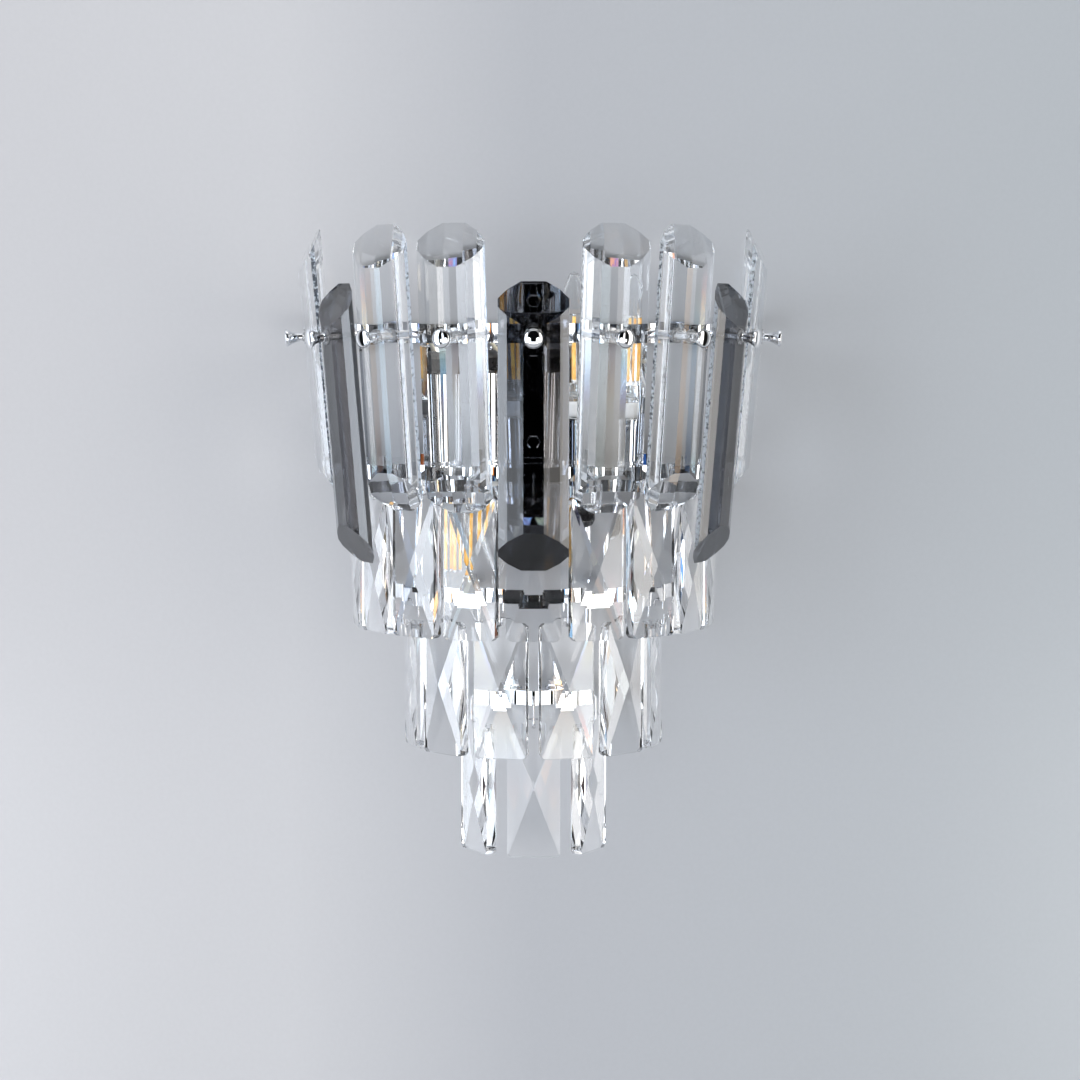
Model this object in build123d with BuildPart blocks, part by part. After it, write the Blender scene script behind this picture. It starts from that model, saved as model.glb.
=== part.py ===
"""Half-round crystal wall sconce: four chrome bands that carry faceted glass bars and three tiers of hanging
crystals round two candle lamps, one upright and one inverted.

Millimetres. The wall is the plane Y = 0 and the sconce stands out towards -Y. X is to the right, Z is up. The
origin lies on the wall, midway between the two upper bands. An angle along a band is measured from straight
out of the wall (0) towards the right (+90).
"""

import os
from math import cos, radians, sin, sqrt

from build123d import *

os.makedirs("parts", exist_ok=True)

# ---------------------------------------------------------------- driving dimensions
BAND_THICKNESS = 1.6
TOP_BAND_RADIUS = 104.0
TOP_BAND_HEIGHT = 10.0
LOW_BAND_HEIGHT = 7.5
TRAY_BAND_INSET = 7.0
MIDDLE_BAND_RADIUS = 68.0
LOWER_BAND_RADIUS = 36.0
TOP_BAND_Z = 36.0
TRAY_BAND_DROP = 73.3
MIDDLE_BAND_DROP = 140.0
LOWER_BAND_DROP = 199.0

SEAT_GAP = 0.1
LOOSE_GAP = 0.3

# wall strap and cover
STRAP_WIDTH = 40.0
STRAP_THICKNESS = 2.0
STRAP_CORNER = 1.5
STRAP_TONGUE = 36.0
WALL_SLOT_WIDTH = 5.0
WALL_SLOT_LENGTH = 10.0
WALL_SLOT_SPACING_X = 26.0
WALL_SLOT_SPACING_Z = 28.0
CABLE_HOLE_DIAMETER = 10.0
CABLE_HOLE_Z = -7.0
COVER_WIDTH = 48.0
COVER_DEPTH = 12.0
COVER_WALL = 1.2
COVER_CORNER = 3.0
COVER_END_GAP = 1.0
STUD_DIAMETER = 4.0
STUD_HEIGHT_SPACING = 44.0
FRAME_SCREW_DIAMETER = 3.0
FRAME_SCREW_WIDTH_SPACING = 28.0

# lamp tray and the rods that carry the two lower bands
TRAY_THICKNESS = 1.6
ROD_DIAMETER = 4.0
EAR_WIDTH = 13.0
EAR_DEPTH = 8.0
EAR_THICKNESS = 1.6
NUT_FLATS = 7.0
NUT_HEIGHT = 3.2

# glass bars and their standoffs
BAR_ANGLES = (-80, -60, -40, -20, 0, 20, 40, 60, 80)
SMOKED_ANGLES = (-60, 0, 60)
BAR_LENGTH = 150.0
BAR_WIDTH = 36.5
BAR_THICKNESS = 13.2
BAR_EDGE_THICKNESS = 2.4
BAR_SHOULDER_WIDTH = 27.2
BAR_SHOULDER_THICKNESS = 7.6
BAR_TABLE_WIDTH = 10.6
BAR_BEVEL_LENGTH = 21.5
BAR_TIP = 0.4
BAR_HOLE_DIAMETER = 4.5
CLEAR_BAR_RISE = 57.2
SMOKED_BAR_RISE = 27.3
PIN_DROOP_ANGLE = 5.0
PIN_DIAMETER = 3.0
PIN_HEAD_DIAMETER = 5.6
PIN_HEAD_HEIGHT = 2.2
SPACER_DIAMETER = 5.0
SPACER_LENGTH = 8.8
PIN_SEAT = 0.3
WASHER_DIAMETER = 8.0
WASHER_THICKNESS = 0.5
KNOB_LENGTH = 11.0
KNOB_FACE_DIAMETER = 10.0
KNOB_NECK_DIAMETER = 4.8
KNOB_COLLAR = 1.6
KNOB_RIM = 1.0
KNOB_CHAMFER = 0.6
KNOB_THREAD_DEPTH = 6.0

# hanging crystals and their wire hooks
TRAY_TIER_ANGLES = (-80, -60, -40, -20, 0, 20, 40, 60, 80)
MIDDLE_TIER_ANGLES = (-75, -45, -15, 15, 45, 75)
LOWER_TIER_ANGLES = (-60, 0, 60)
CRYSTAL_WIDTH = 29.0
CRYSTAL_HEIGHT = 76.0
CRYSTAL_GIRDLE = 6.0
CRYSTAL_THICKNESS = 12.0
CRYSTAL_CORNER = 2.0
CRYSTAL_HOLE_DIAMETER = 2.6
CRYSTAL_HOLE_BELOW_TOP = 3.5
HOOK_DROP = 15.0
HOOK_WIRE_DIAMETER = 1.0
HOOK_HALF_SPAN = 4.5
HOOK_BEND = 1.6
HOOK_BACK_LEG = 9.5
HOOK_END_RISE = 2.8
HOOK_HOLE_DIAMETER = 2.4

# lamps
UPPER_LAMP_X = 22.0
INVERTED_LAMP_X = -28.5
LAMP_FROM_WALL = 34.0
SLEEVE_DIAMETER = 26.0
SLEEVE_WALL = 0.8
SLEEVE_LENGTH = 52.0
SLEEVE_FLANGE_DIAMETER = 31.0
SLEEVE_FLANGE_THICKNESS = 1.2
SLEEVE_NUT_HEIGHT = 2.2
UPPER_SLEEVE_ABOVE_TRAY = 23.8
INVERTED_SLEEVE_ABOVE_TRAY = 48.0
HOLDER_DIAMETER = 24.0
HOLDER_RECESS = 0.5
HOLDER_TAIL_LENGTH = 12.5
HOLDER_TAIL_DIAMETER = 21.0
SOCKET_DIAMETER = 14.8
SOCKET_DEPTH = 24.0
CAP_DIAMETER = 13.9
CAP_LENGTH = 21.4
CAP_CONTACT_DIAMETER = 5.0
CAP_CONTACT_HEIGHT = 1.5
CAP_INSULATOR_HEIGHT = 2.5
COLLAR_LENGTH = 8.6
COLLAR_LOW_DIAMETER = 16.5
COLLAR_TOP_DIAMETER = 21.0
BULB_LENGTH = 100.0
BULB_DIAMETER = 35.0
BULB_BELLY_HEIGHT = 23.0
BULB_WAIST_HEIGHT = 49.0
BULB_WAIST_DIAMETER = 22.6
BULB_TIP_RADIUS = 3.8
BULB_WALL = 0.9
FILAMENT_LENGTH = 36.6
FILAMENT_DIAMETER = 1.8
FILAMENT_CIRCLE_DIAMETER = 9.0
FILAMENT_COUNT = 4
FILAMENT_FROM_TIP = 23.0
STEM_DIAMETER = 6.0
STEM_TAPER_ANGLE = 4.0
LEAD_WIRE_DIAMETER = 0.8

# wiring
TERMINAL_WIDTH = 15.0
TERMINAL_DEPTH = 7.6
TERMINAL_HEIGHT = 10.0
TERMINAL_Z = 8.0
TERMINAL_BORE = 3.0
TERMINAL_PITCH = 8.0
LEAD_DIAMETER = 2.4
LEAD_HOLE_DIAMETER = 4.0
LEAD_BEND = 3.5
LEAD_LOOP = 12.0
LEAD_RISE_DEPTH = 24.0

# ---------------------------------------------------------------- worked-out places
TRAY_BAND_RADIUS = TOP_BAND_RADIUS - TRAY_BAND_INSET
TRAY_BAND_Z = TOP_BAND_Z - TRAY_BAND_DROP
MIDDLE_BAND_Z = TOP_BAND_Z - MIDDLE_BAND_DROP
LOWER_BAND_Z = TOP_BAND_Z - LOWER_BAND_DROP
FRAME_BACK_Y = -STRAP_THICKNESS
TRAY_TOP_Z = TRAY_BAND_Z + LOW_BAND_HEIGHT / 2
TRAY_UNDER_Z = TRAY_TOP_Z - TRAY_THICKNESS
TRAY_BACK_Y = FRAME_BACK_Y - BAND_THICKNESS - SEAT_GAP
STRAP_TOP_Z = TOP_BAND_Z + TOP_BAND_HEIGHT / 2
TRAY_BAND_LOW_Z = TRAY_BAND_Z - LOW_BAND_HEIGHT / 2
STRAP_LOW_Z = TRAY_BAND_LOW_Z - STRAP_TONGUE
COVER_TOP_Z = TOP_BAND_Z - TOP_BAND_HEIGHT / 2 - COVER_END_GAP
COVER_LOW_Z = TRAY_TOP_Z + COVER_END_GAP
COVER_MID_Z = (COVER_TOP_Z + COVER_LOW_Z) / 2
LOWER_COVER_TOP_Z = TRAY_BAND_LOW_Z - COVER_END_GAP
LOWER_COVER_LOW_Z = STRAP_LOW_Z - COVER_END_GAP
LOWER_COVER_MID_Z = (LOWER_COVER_TOP_Z + LOWER_COVER_LOW_Z) / 2
STUD_HEIGHTS = (
    COVER_MID_Z + STUD_HEIGHT_SPACING / 2,
    COVER_MID_Z - STUD_HEIGHT_SPACING / 2,
    LOWER_COVER_MID_Z,
)
LAMP_Y = -LAMP_FROM_WALL
NUT_RADIUS = NUT_FLATS / (2 * cos(radians(30)))
ROD_FROM_WALL = STRAP_THICKNESS + BAND_THICKNESS + LOOSE_GAP + NUT_RADIUS
TRAY_SCREW_Z = TRAY_UNDER_Z - LOOSE_GAP - PIN_HEAD_DIAMETER / 2
LEAD_Y = -STRAP_THICKNESS - TERMINAL_DEPTH / 2
UPPER_LEAD_HOLE_X = COVER_WIDTH / 8
INVERTED_LEAD_HOLE_X = -COVER_WIDTH / 3
INVERTED_LEAD_HOLE_Z = COVER_MID_Z + STUD_HEIGHT_SPACING / 2
UPPER_LEAD_EXIT_Z = LOWER_COVER_LOW_Z + COVER_END_GAP + LEAD_HOLE_DIAMETER + COVER_CORNER
HOLDER_LENGTH = SLEEVE_LENGTH + HOLDER_TAIL_LENGTH
UPPER_MOUTH_Z = TRAY_TOP_Z + UPPER_SLEEVE_ABOVE_TRAY
INVERTED_MOUTH_Z = TRAY_TOP_Z + INVERTED_SLEEVE_ABOVE_TRAY - SLEEVE_LENGTH
BAR_BACK_REACH = PIN_SEAT + SPACER_LENGTH + WASHER_THICKNESS
BAR_MIDDLE_REACH = BAR_BACK_REACH + BAR_THICKNESS / 2
KNOB_REACH = BAR_BACK_REACH + BAR_THICKNESS + WASHER_THICKNESS


def band_point(radius, angle, z):
    """The point of a band at this angle."""
    return (radius * sin(radians(angle)), -radius * cos(radians(angle)), z)


def band_plane(radius, angle, z, droop=0.0):
    """A plane seated on a band: X along the band, Z straight out of it and Y upwards."""
    turn = radians(angle)
    fall = radians(droop)
    outward = (sin(turn) * cos(fall), -cos(turn) * cos(fall), -sin(fall))
    return Plane(band_point(radius, angle, z), x_dir=(cos(turn), sin(turn), 0), z_dir=outward)


def pin_plane(angle, reach):
    """The plane across a standoff pin at this reach from the top band: X along the band, Y up the bar."""
    return band_plane(TOP_BAND_RADIUS, angle, TOP_BAND_Z, PIN_DROOP_ANGLE).offset(reach)


def pin_section(angle, reach):
    """The plane that holds a pin's axis: X outward along the pin, Y across it."""
    across = pin_plane(angle, reach)
    return Plane(across.origin, x_dir=across.z_dir, z_dir=across.x_dir)


def lamp_section(x, z, way):
    """The plane that holds a lamp's axis: X across it, Y along it, up for a way of 1 and down for -1."""
    return Plane((x, LAMP_Y, z), x_dir=(1, 0, 0), z_dir=(0, -way, 0))


def write(builder, name):
    """Labels a finished piece and writes it to its own file."""
    builder.part.label = name
    export_step(builder.part, f"parts/{name}.step")


def half_disc(radius, back_y):
    """Draws a disc that is cut straight along the line y = back_y."""
    Circle(radius)
    with Locations((0, back_y)):
        Rectangle(4 * radius, 2 * radius, align=(Align.CENTER, Align.MIN), mode=Mode.SUBTRACT)


def band_ring(radius, height, z, closed):
    """Adds a half-round band. A closed one has a straight back bar along the wall strap."""
    with BuildSketch(Plane.XY.offset(z - height / 2)) as outer:
        half_disc(radius, FRAME_BACK_Y)
    extrude(outer.sketch, amount=height)
    with BuildSketch(Plane.XY.offset(z - height / 2)) as inner:
        if closed:
            half_disc(radius - BAND_THICKNESS, FRAME_BACK_Y - BAND_THICKNESS)
        else:
            Circle(radius - BAND_THICKNESS)
    extrude(inner.sketch, amount=height, mode=Mode.SUBTRACT)


def hook_holes(radius, z, angles):
    """Cuts the holes that the crystals' hooks pass through."""
    for angle in angles:
        with BuildSketch(band_plane(radius, angle, z)) as hole:
            Circle(HOOK_HOLE_DIAMETER / 2)
        extrude(hole.sketch, amount=2 * BAND_THICKNESS, both=True, mode=Mode.SUBTRACT)


def frame_screw_holes(z, diameter, depth):
    """Cuts the pair of screw holes that tie a band's back bar to the wall strap."""
    with BuildSketch(Plane.XZ) as holes:
        with Locations((0, z)):
            with GridLocations(FRAME_SCREW_WIDTH_SPACING, 0, 2, 1):
                Circle(diameter / 2)
    extrude(holes.sketch, amount=depth, mode=Mode.SUBTRACT)


def stud_places():
    """The heights of the studs that carry the covers, on the plane of the wall."""
    return [(0, stud_z) for stud_z in STUD_HEIGHTS]


def hollow_cover(cover, top_z, low_z):
    """Adds a box over the strap, open to the wall, with rounded front edges and holes for the studs."""
    middle = (0, (top_z + low_z) / 2)
    height = top_z - low_z
    with BuildSketch(Plane.XZ) as outer:
        with Locations(middle):
            RectangleRounded(COVER_WIDTH, height, COVER_CORNER)
    extrude(outer.sketch, amount=COVER_DEPTH)
    fillet(cover.faces().sort_by(Axis.Y)[0].edges(), COVER_WALL)
    with BuildSketch(Plane.XZ) as hollow:
        with Locations(middle):
            RectangleRounded(COVER_WIDTH - 2 * COVER_WALL, height - 2 * COVER_WALL, COVER_CORNER - COVER_WALL)
    extrude(hollow.sketch, amount=COVER_DEPTH - COVER_WALL, mode=Mode.SUBTRACT)
    with BuildSketch(Plane.XZ) as strap_way:
        with Locations(middle):
            Rectangle(STRAP_WIDTH + 2 * LOOSE_GAP, height)
    extrude(strap_way.sketch, amount=STRAP_THICKNESS + LOOSE_GAP, mode=Mode.SUBTRACT)
    with BuildSketch(Plane.XZ) as stud_holes:
        with Locations(*stud_places()):
            Circle(STUD_DIAMETER / 2 + LOOSE_GAP)
    extrude(stud_holes.sketch, amount=COVER_DEPTH, mode=Mode.SUBTRACT)


def lead_hole_in_floor(z):
    """Cuts the hole in a cover's end wall for the lead that runs down the strap."""
    with BuildSketch(Plane.XY.offset(z)) as hole:
        with Locations((UPPER_LEAD_HOLE_X, LEAD_Y)):
            Circle(LEAD_HOLE_DIAMETER / 2)
    extrude(hole.sketch, amount=COVER_WALL, mode=Mode.SUBTRACT)


def lead_hole_in_front(x, z):
    """Cuts the hole in a cover's front through which a lead leaves for its lamp."""
    with BuildSketch(Plane.XZ.offset(COVER_DEPTH)) as hole:
        with Locations((x, z)):
            Circle(LEAD_HOLE_DIAMETER / 2)
    extrude(hole.sketch, amount=-COVER_WALL, mode=Mode.SUBTRACT)


# ---------------------------------------------------------------- wall strap, covers and their fasteners
with BuildPart() as mounting_strap:
    with BuildSketch(Plane.XZ):
        with Locations((0, (STRAP_TOP_Z + STRAP_LOW_Z) / 2)):
            RectangleRounded(STRAP_WIDTH, STRAP_TOP_Z - STRAP_LOW_Z, STRAP_CORNER)
        with GridLocations(WALL_SLOT_SPACING_X, WALL_SLOT_SPACING_Z, 2, 2):
            SlotOverall(WALL_SLOT_LENGTH, WALL_SLOT_WIDTH, mode=Mode.SUBTRACT)
        with Locations((0, CABLE_HOLE_Z)):
            Circle(CABLE_HOLE_DIAMETER / 2, mode=Mode.SUBTRACT)
    extrude(amount=STRAP_THICKNESS)
    frame_screw_holes(TOP_BAND_Z, FRAME_SCREW_DIAMETER + SEAT_GAP, STRAP_THICKNESS)
    frame_screw_holes(TRAY_SCREW_Z, FRAME_SCREW_DIAMETER + SEAT_GAP, STRAP_THICKNESS)
    with BuildSketch(Plane.XZ.offset(STRAP_THICKNESS)):
        with Locations(*stud_places()):
            Circle(STUD_DIAMETER / 2)
    extrude(amount=COVER_DEPTH - STRAP_THICKNESS + NUT_HEIGHT)
write(mounting_strap, "mounting_strap")

with BuildPart() as back_cover:
    hollow_cover(back_cover, COVER_TOP_Z, COVER_LOW_Z)
    lead_hole_in_front(INVERTED_LEAD_HOLE_X, INVERTED_LEAD_HOLE_Z)
    lead_hole_in_floor(COVER_LOW_Z)
write(back_cover, "back_cover")

with BuildPart() as lower_cover:
    hollow_cover(lower_cover, LOWER_COVER_TOP_Z, LOWER_COVER_LOW_Z)
    lead_hole_in_floor(LOWER_COVER_TOP_Z - COVER_WALL)
    lead_hole_in_front(UPPER_LEAD_HOLE_X, UPPER_LEAD_EXIT_Z)
write(lower_cover, "lower_cover")

with BuildPart() as cover_nuts:
    with BuildSketch(Plane.XZ.offset(COVER_DEPTH)):
        with Locations(*stud_places()):
            RegularPolygon(NUT_FLATS / 2, 6, major_radius=False)
    extrude(amount=NUT_HEIGHT + COVER_WALL)
    chamfer(cover_nuts.faces().sort_by(Axis.Y)[: len(STUD_HEIGHTS)].edges(), COVER_WALL / 2)
    with BuildSketch(Plane.XZ.offset(COVER_DEPTH)):
        with Locations(*stud_places()):
            Circle((STUD_DIAMETER + SEAT_GAP) / 2)
    extrude(amount=NUT_HEIGHT + SEAT_GAP, mode=Mode.SUBTRACT)
write(cover_nuts, "cover_nuts")

with BuildPart() as frame_screws:
    for screw_z in (TOP_BAND_Z, TRAY_SCREW_Z):
        with BuildSketch(Plane.XZ.offset(SEAT_GAP)):
            with Locations((0, screw_z)):
                with GridLocations(FRAME_SCREW_WIDTH_SPACING, 0, 2, 1):
                    Circle(FRAME_SCREW_DIAMETER / 2)
        extrude(amount=STRAP_THICKNESS + BAND_THICKNESS)
        with BuildSketch(Plane.XZ.offset(STRAP_THICKNESS + BAND_THICKNESS)):
            with Locations((0, screw_z)):
                with GridLocations(FRAME_SCREW_WIDTH_SPACING, 0, 2, 1):
                    Circle(PIN_HEAD_DIAMETER / 2)
        extrude(amount=PIN_HEAD_HEIGHT)
write(frame_screws, "frame_screws")

# ---------------------------------------------------------------- bands, tray and drop rods
with BuildPart() as top_band:
    band_ring(TOP_BAND_RADIUS, TOP_BAND_HEIGHT, TOP_BAND_Z, closed=True)
    frame_screw_holes(TOP_BAND_Z, FRAME_SCREW_DIAMETER + SEAT_GAP, STRAP_THICKNESS + BAND_THICKNESS)
    for angle in BAR_ANGLES:
        with BuildSketch(pin_plane(angle, -2 * BAND_THICKNESS)):
            Circle(PIN_DIAMETER / 2 + SEAT_GAP)
        extrude(amount=3 * BAND_THICKNESS, mode=Mode.SUBTRACT)
write(top_band, "top_band")

with BuildPart() as tray_band:
    band_ring(TRAY_BAND_RADIUS, LOW_BAND_HEIGHT, TRAY_BAND_Z, closed=True)
    frame_screw_holes(TRAY_SCREW_Z, FRAME_SCREW_DIAMETER + SEAT_GAP, STRAP_THICKNESS + BAND_THICKNESS)
    hook_holes(TRAY_BAND_RADIUS, TRAY_BAND_Z, TRAY_TIER_ANGLES)
write(tray_band, "tray_band")


def rod_places(radius):
    """The two rods of a hanging band, beside the wall and just inside the band."""
    reach = radius - BAND_THICKNESS - LOOSE_GAP - NUT_RADIUS
    rod_x = sqrt(reach**2 - ROD_FROM_WALL**2)
    return ((-rod_x, -ROD_FROM_WALL), (rod_x, -ROD_FROM_WALL))


def hanging_band(radius, z, angles):
    """Adds an open half-round band whose two ends have ears for the drop rods."""
    band_ring(radius, LOW_BAND_HEIGHT, z, closed=False)
    with BuildSketch(Plane.XY.offset(z + LOW_BAND_HEIGHT / 2 - EAR_THICKNESS)) as ears:
        with Locations(*rod_places(radius)):
            Rectangle(EAR_WIDTH, EAR_DEPTH)
        Circle(radius - BAND_THICKNESS / 2, mode=Mode.INTERSECT)
        with Locations(*rod_places(radius)):
            Circle(ROD_DIAMETER / 2 + SEAT_GAP, mode=Mode.SUBTRACT)
    extrude(ears.sketch, amount=EAR_THICKNESS)
    hook_holes(radius, z, angles)


with BuildPart() as middle_band:
    hanging_band(MIDDLE_BAND_RADIUS, MIDDLE_BAND_Z, MIDDLE_TIER_ANGLES)
write(middle_band, "middle_band")

with BuildPart() as lower_band:
    hanging_band(LOWER_BAND_RADIUS, LOWER_BAND_Z, LOWER_TIER_ANGLES)
write(lower_band, "lower_band")

with BuildPart() as lamp_tray:
    with BuildSketch(Plane.XY.offset(TRAY_UNDER_Z)):
        half_disc(TRAY_BAND_RADIUS - BAND_THICKNESS - SEAT_GAP, TRAY_BACK_Y)
        with Locations((UPPER_LAMP_X, LAMP_Y), (INVERTED_LAMP_X, LAMP_Y)):
            Circle(SLEEVE_DIAMETER / 2 + LOOSE_GAP, mode=Mode.SUBTRACT)
        with Locations(*rod_places(MIDDLE_BAND_RADIUS), *rod_places(LOWER_BAND_RADIUS)):
            Circle(ROD_DIAMETER / 2 + SEAT_GAP, mode=Mode.SUBTRACT)
        with Locations((UPPER_LEAD_HOLE_X, LEAD_Y)):
            Circle(LEAD_HOLE_DIAMETER / 2, mode=Mode.SUBTRACT)
    extrude(amount=TRAY_THICKNESS)
write(lamp_tray, "lamp_tray")

HANGING_BANDS = ((MIDDLE_BAND_RADIUS, MIDDLE_BAND_Z), (LOWER_BAND_RADIUS, LOWER_BAND_Z))

with BuildPart() as drop_rods:
    for radius, band_z in HANGING_BANDS:
        rod_low = band_z + LOW_BAND_HEIGHT / 2 - EAR_THICKNESS - NUT_HEIGHT - SEAT_GAP
        with BuildSketch(Plane.XY.offset(rod_low)):
            with Locations(*rod_places(radius)):
                Circle(ROD_DIAMETER / 2)
        extrude(amount=TRAY_TOP_Z + NUT_HEIGHT + SEAT_GAP - rod_low)
    chamfer(drop_rods.edges().filter_by(GeomType.CIRCLE), ROD_DIAMETER / 10)
write(drop_rods, "drop_rods")

with BuildPart() as rod_nuts:
    for radius, band_z in HANGING_BANDS:
        ear_top = band_z + LOW_BAND_HEIGHT / 2
        for nut_low in (TRAY_TOP_Z, TRAY_UNDER_Z - NUT_HEIGHT, ear_top, ear_top - EAR_THICKNESS - NUT_HEIGHT):
            with BuildSketch(Plane.XY.offset(nut_low)):
                with Locations(*rod_places(radius)):
                    RegularPolygon(NUT_FLATS / 2, 6, major_radius=False)
                    Circle((ROD_DIAMETER + SEAT_GAP) / 2, mode=Mode.SUBTRACT)
            extrude(amount=NUT_HEIGHT)
write(rod_nuts, "rod_nuts")

# ---------------------------------------------------------------- standoffs of the glass bars
with BuildPart() as standoff_screws:
    for angle in BAR_ANGLES:
        head_reach = -BAND_THICKNESS - PIN_SEAT - PIN_HEAD_HEIGHT
        with BuildSketch(pin_plane(angle, head_reach)):
            Circle(PIN_HEAD_DIAMETER / 2)
        extrude(amount=PIN_HEAD_HEIGHT)
        with BuildSketch(pin_plane(angle, head_reach)):
            Circle(PIN_DIAMETER / 2)
        extrude(amount=KNOB_REACH + KNOB_THREAD_DEPTH - SEAT_GAP - head_reach)
write(standoff_screws, "standoff_screws")

with BuildPart() as standoff_spacers:
    for angle in BAR_ANGLES:
        with BuildSketch(pin_plane(angle, PIN_SEAT)):
            Circle(SPACER_DIAMETER / 2)
            Circle(PIN_DIAMETER / 2 + SEAT_GAP, mode=Mode.SUBTRACT)
        extrude(amount=SPACER_LENGTH)
write(standoff_spacers, "standoff_spacers")

with BuildPart() as glass_washers:
    for angle in BAR_ANGLES:
        for reach in (BAR_BACK_REACH - WASHER_THICKNESS, KNOB_REACH - WASHER_THICKNESS):
            with BuildSketch(pin_plane(angle, reach)):
                Circle(WASHER_DIAMETER / 2)
                Circle(PIN_DIAMETER / 2 + SEAT_GAP, mode=Mode.SUBTRACT)
            extrude(amount=WASHER_THICKNESS)
write(glass_washers, "glass_washers")

with BuildPart() as standoff_knobs:
    neck = KNOB_NECK_DIAMETER / 2
    face = KNOB_FACE_DIAMETER / 2
    flare_end = KNOB_LENGTH - KNOB_RIM
    bore = (PIN_DIAMETER + SEAT_GAP) / 2
    for angle in BAR_ANGLES:
        seat = pin_plane(angle, KNOB_REACH)
        with BuildSketch(pin_section(angle, KNOB_REACH)):
            with BuildLine():
                Polyline((KNOB_THREAD_DEPTH, 0), (KNOB_THREAD_DEPTH, bore), (0, bore), (0, neck), (KNOB_COLLAR, neck))
                flare_bow = ((KNOB_COLLAR + flare_end) / 2, neck + (face - neck) / 4)
                ThreePointArc((KNOB_COLLAR, neck), flare_bow, (flare_end, face))
                Polyline(
                    (flare_end, face),
                    (KNOB_LENGTH - KNOB_CHAMFER, face),
                    (KNOB_LENGTH, face - KNOB_CHAMFER),
                    (KNOB_LENGTH, 0),
                    (KNOB_THREAD_DEPTH, 0),
                )
            make_face()
        revolve(axis=Axis(seat.origin, seat.z_dir))
write(standoff_knobs, "standoff_knobs")

# ---------------------------------------------------------------- glass bars
SECTION_POINTS = (
    (BAR_WIDTH / 2, BAR_EDGE_THICKNESS / 2),
    (BAR_SHOULDER_WIDTH / 2, BAR_SHOULDER_THICKNESS / 2),
    (BAR_TABLE_WIDTH / 2, BAR_THICKNESS / 2),
)

for number, angle in enumerate(BAR_ANGLES, start=1):
    smoked = angle in SMOKED_ANGLES
    rise = SMOKED_BAR_RISE if smoked else CLEAR_BAR_RISE
    fall = BAR_LENGTH - rise
    middle = pin_plane(angle, BAR_MIDDLE_REACH)
    foot = middle.origin - middle.y_dir * fall
    half = BAR_THICKNESS / 2
    right_front = list(SECTION_POINTS)
    left_front = [(-x, y) for x, y in reversed(SECTION_POINTS)]
    back = [(-x, -y) for x, y in right_front + left_front]
    with BuildPart() as bar:
        with BuildSketch(Plane(foot, x_dir=middle.x_dir, z_dir=middle.y_dir)):
            Polygon(*right_front, *left_front, *back, align=None)
        extrude(amount=BAR_LENGTH)
        with BuildSketch(Plane(middle.origin, x_dir=middle.y_dir, z_dir=middle.x_dir)):
            Polygon(
                (-fall, -half),
                (-fall, BAR_TIP - half),
                (BAR_BEVEL_LENGTH - fall, half),
                (rise - BAR_BEVEL_LENGTH, half),
                (rise, BAR_TIP - half),
                (rise, -half),
                align=None,
            )
        extrude(amount=BAR_WIDTH, both=True, mode=Mode.INTERSECT)
        with BuildSketch(middle):
            Circle(BAR_HOLE_DIAMETER / 2)
        extrude(amount=BAR_THICKNESS, both=True, mode=Mode.SUBTRACT)
    write(bar, f"{'smoked' if smoked else 'clear'}_bar_{number}")

# ---------------------------------------------------------------- crystals and hooks
TIERS = (
    ("tray", TRAY_BAND_RADIUS, TRAY_BAND_Z, TRAY_TIER_ANGLES),
    ("middle", MIDDLE_BAND_RADIUS, MIDDLE_BAND_Z, MIDDLE_TIER_ANGLES),
    ("lower", LOWER_BAND_RADIUS, LOWER_BAND_Z, LOWER_TIER_ANGLES),
)


def facet_outline(length):
    """Draws the section of a crystal: thin at both ends and thickest in the middle."""
    Polygon(
        (-length / 2, -CRYSTAL_GIRDLE / 2),
        (0, -CRYSTAL_THICKNESS / 2),
        (length / 2, -CRYSTAL_GIRDLE / 2),
        (length / 2, CRYSTAL_GIRDLE / 2),
        (0, CRYSTAL_THICKNESS / 2),
        (-length / 2, CRYSTAL_GIRDLE / 2),
        align=None,
    )


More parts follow.
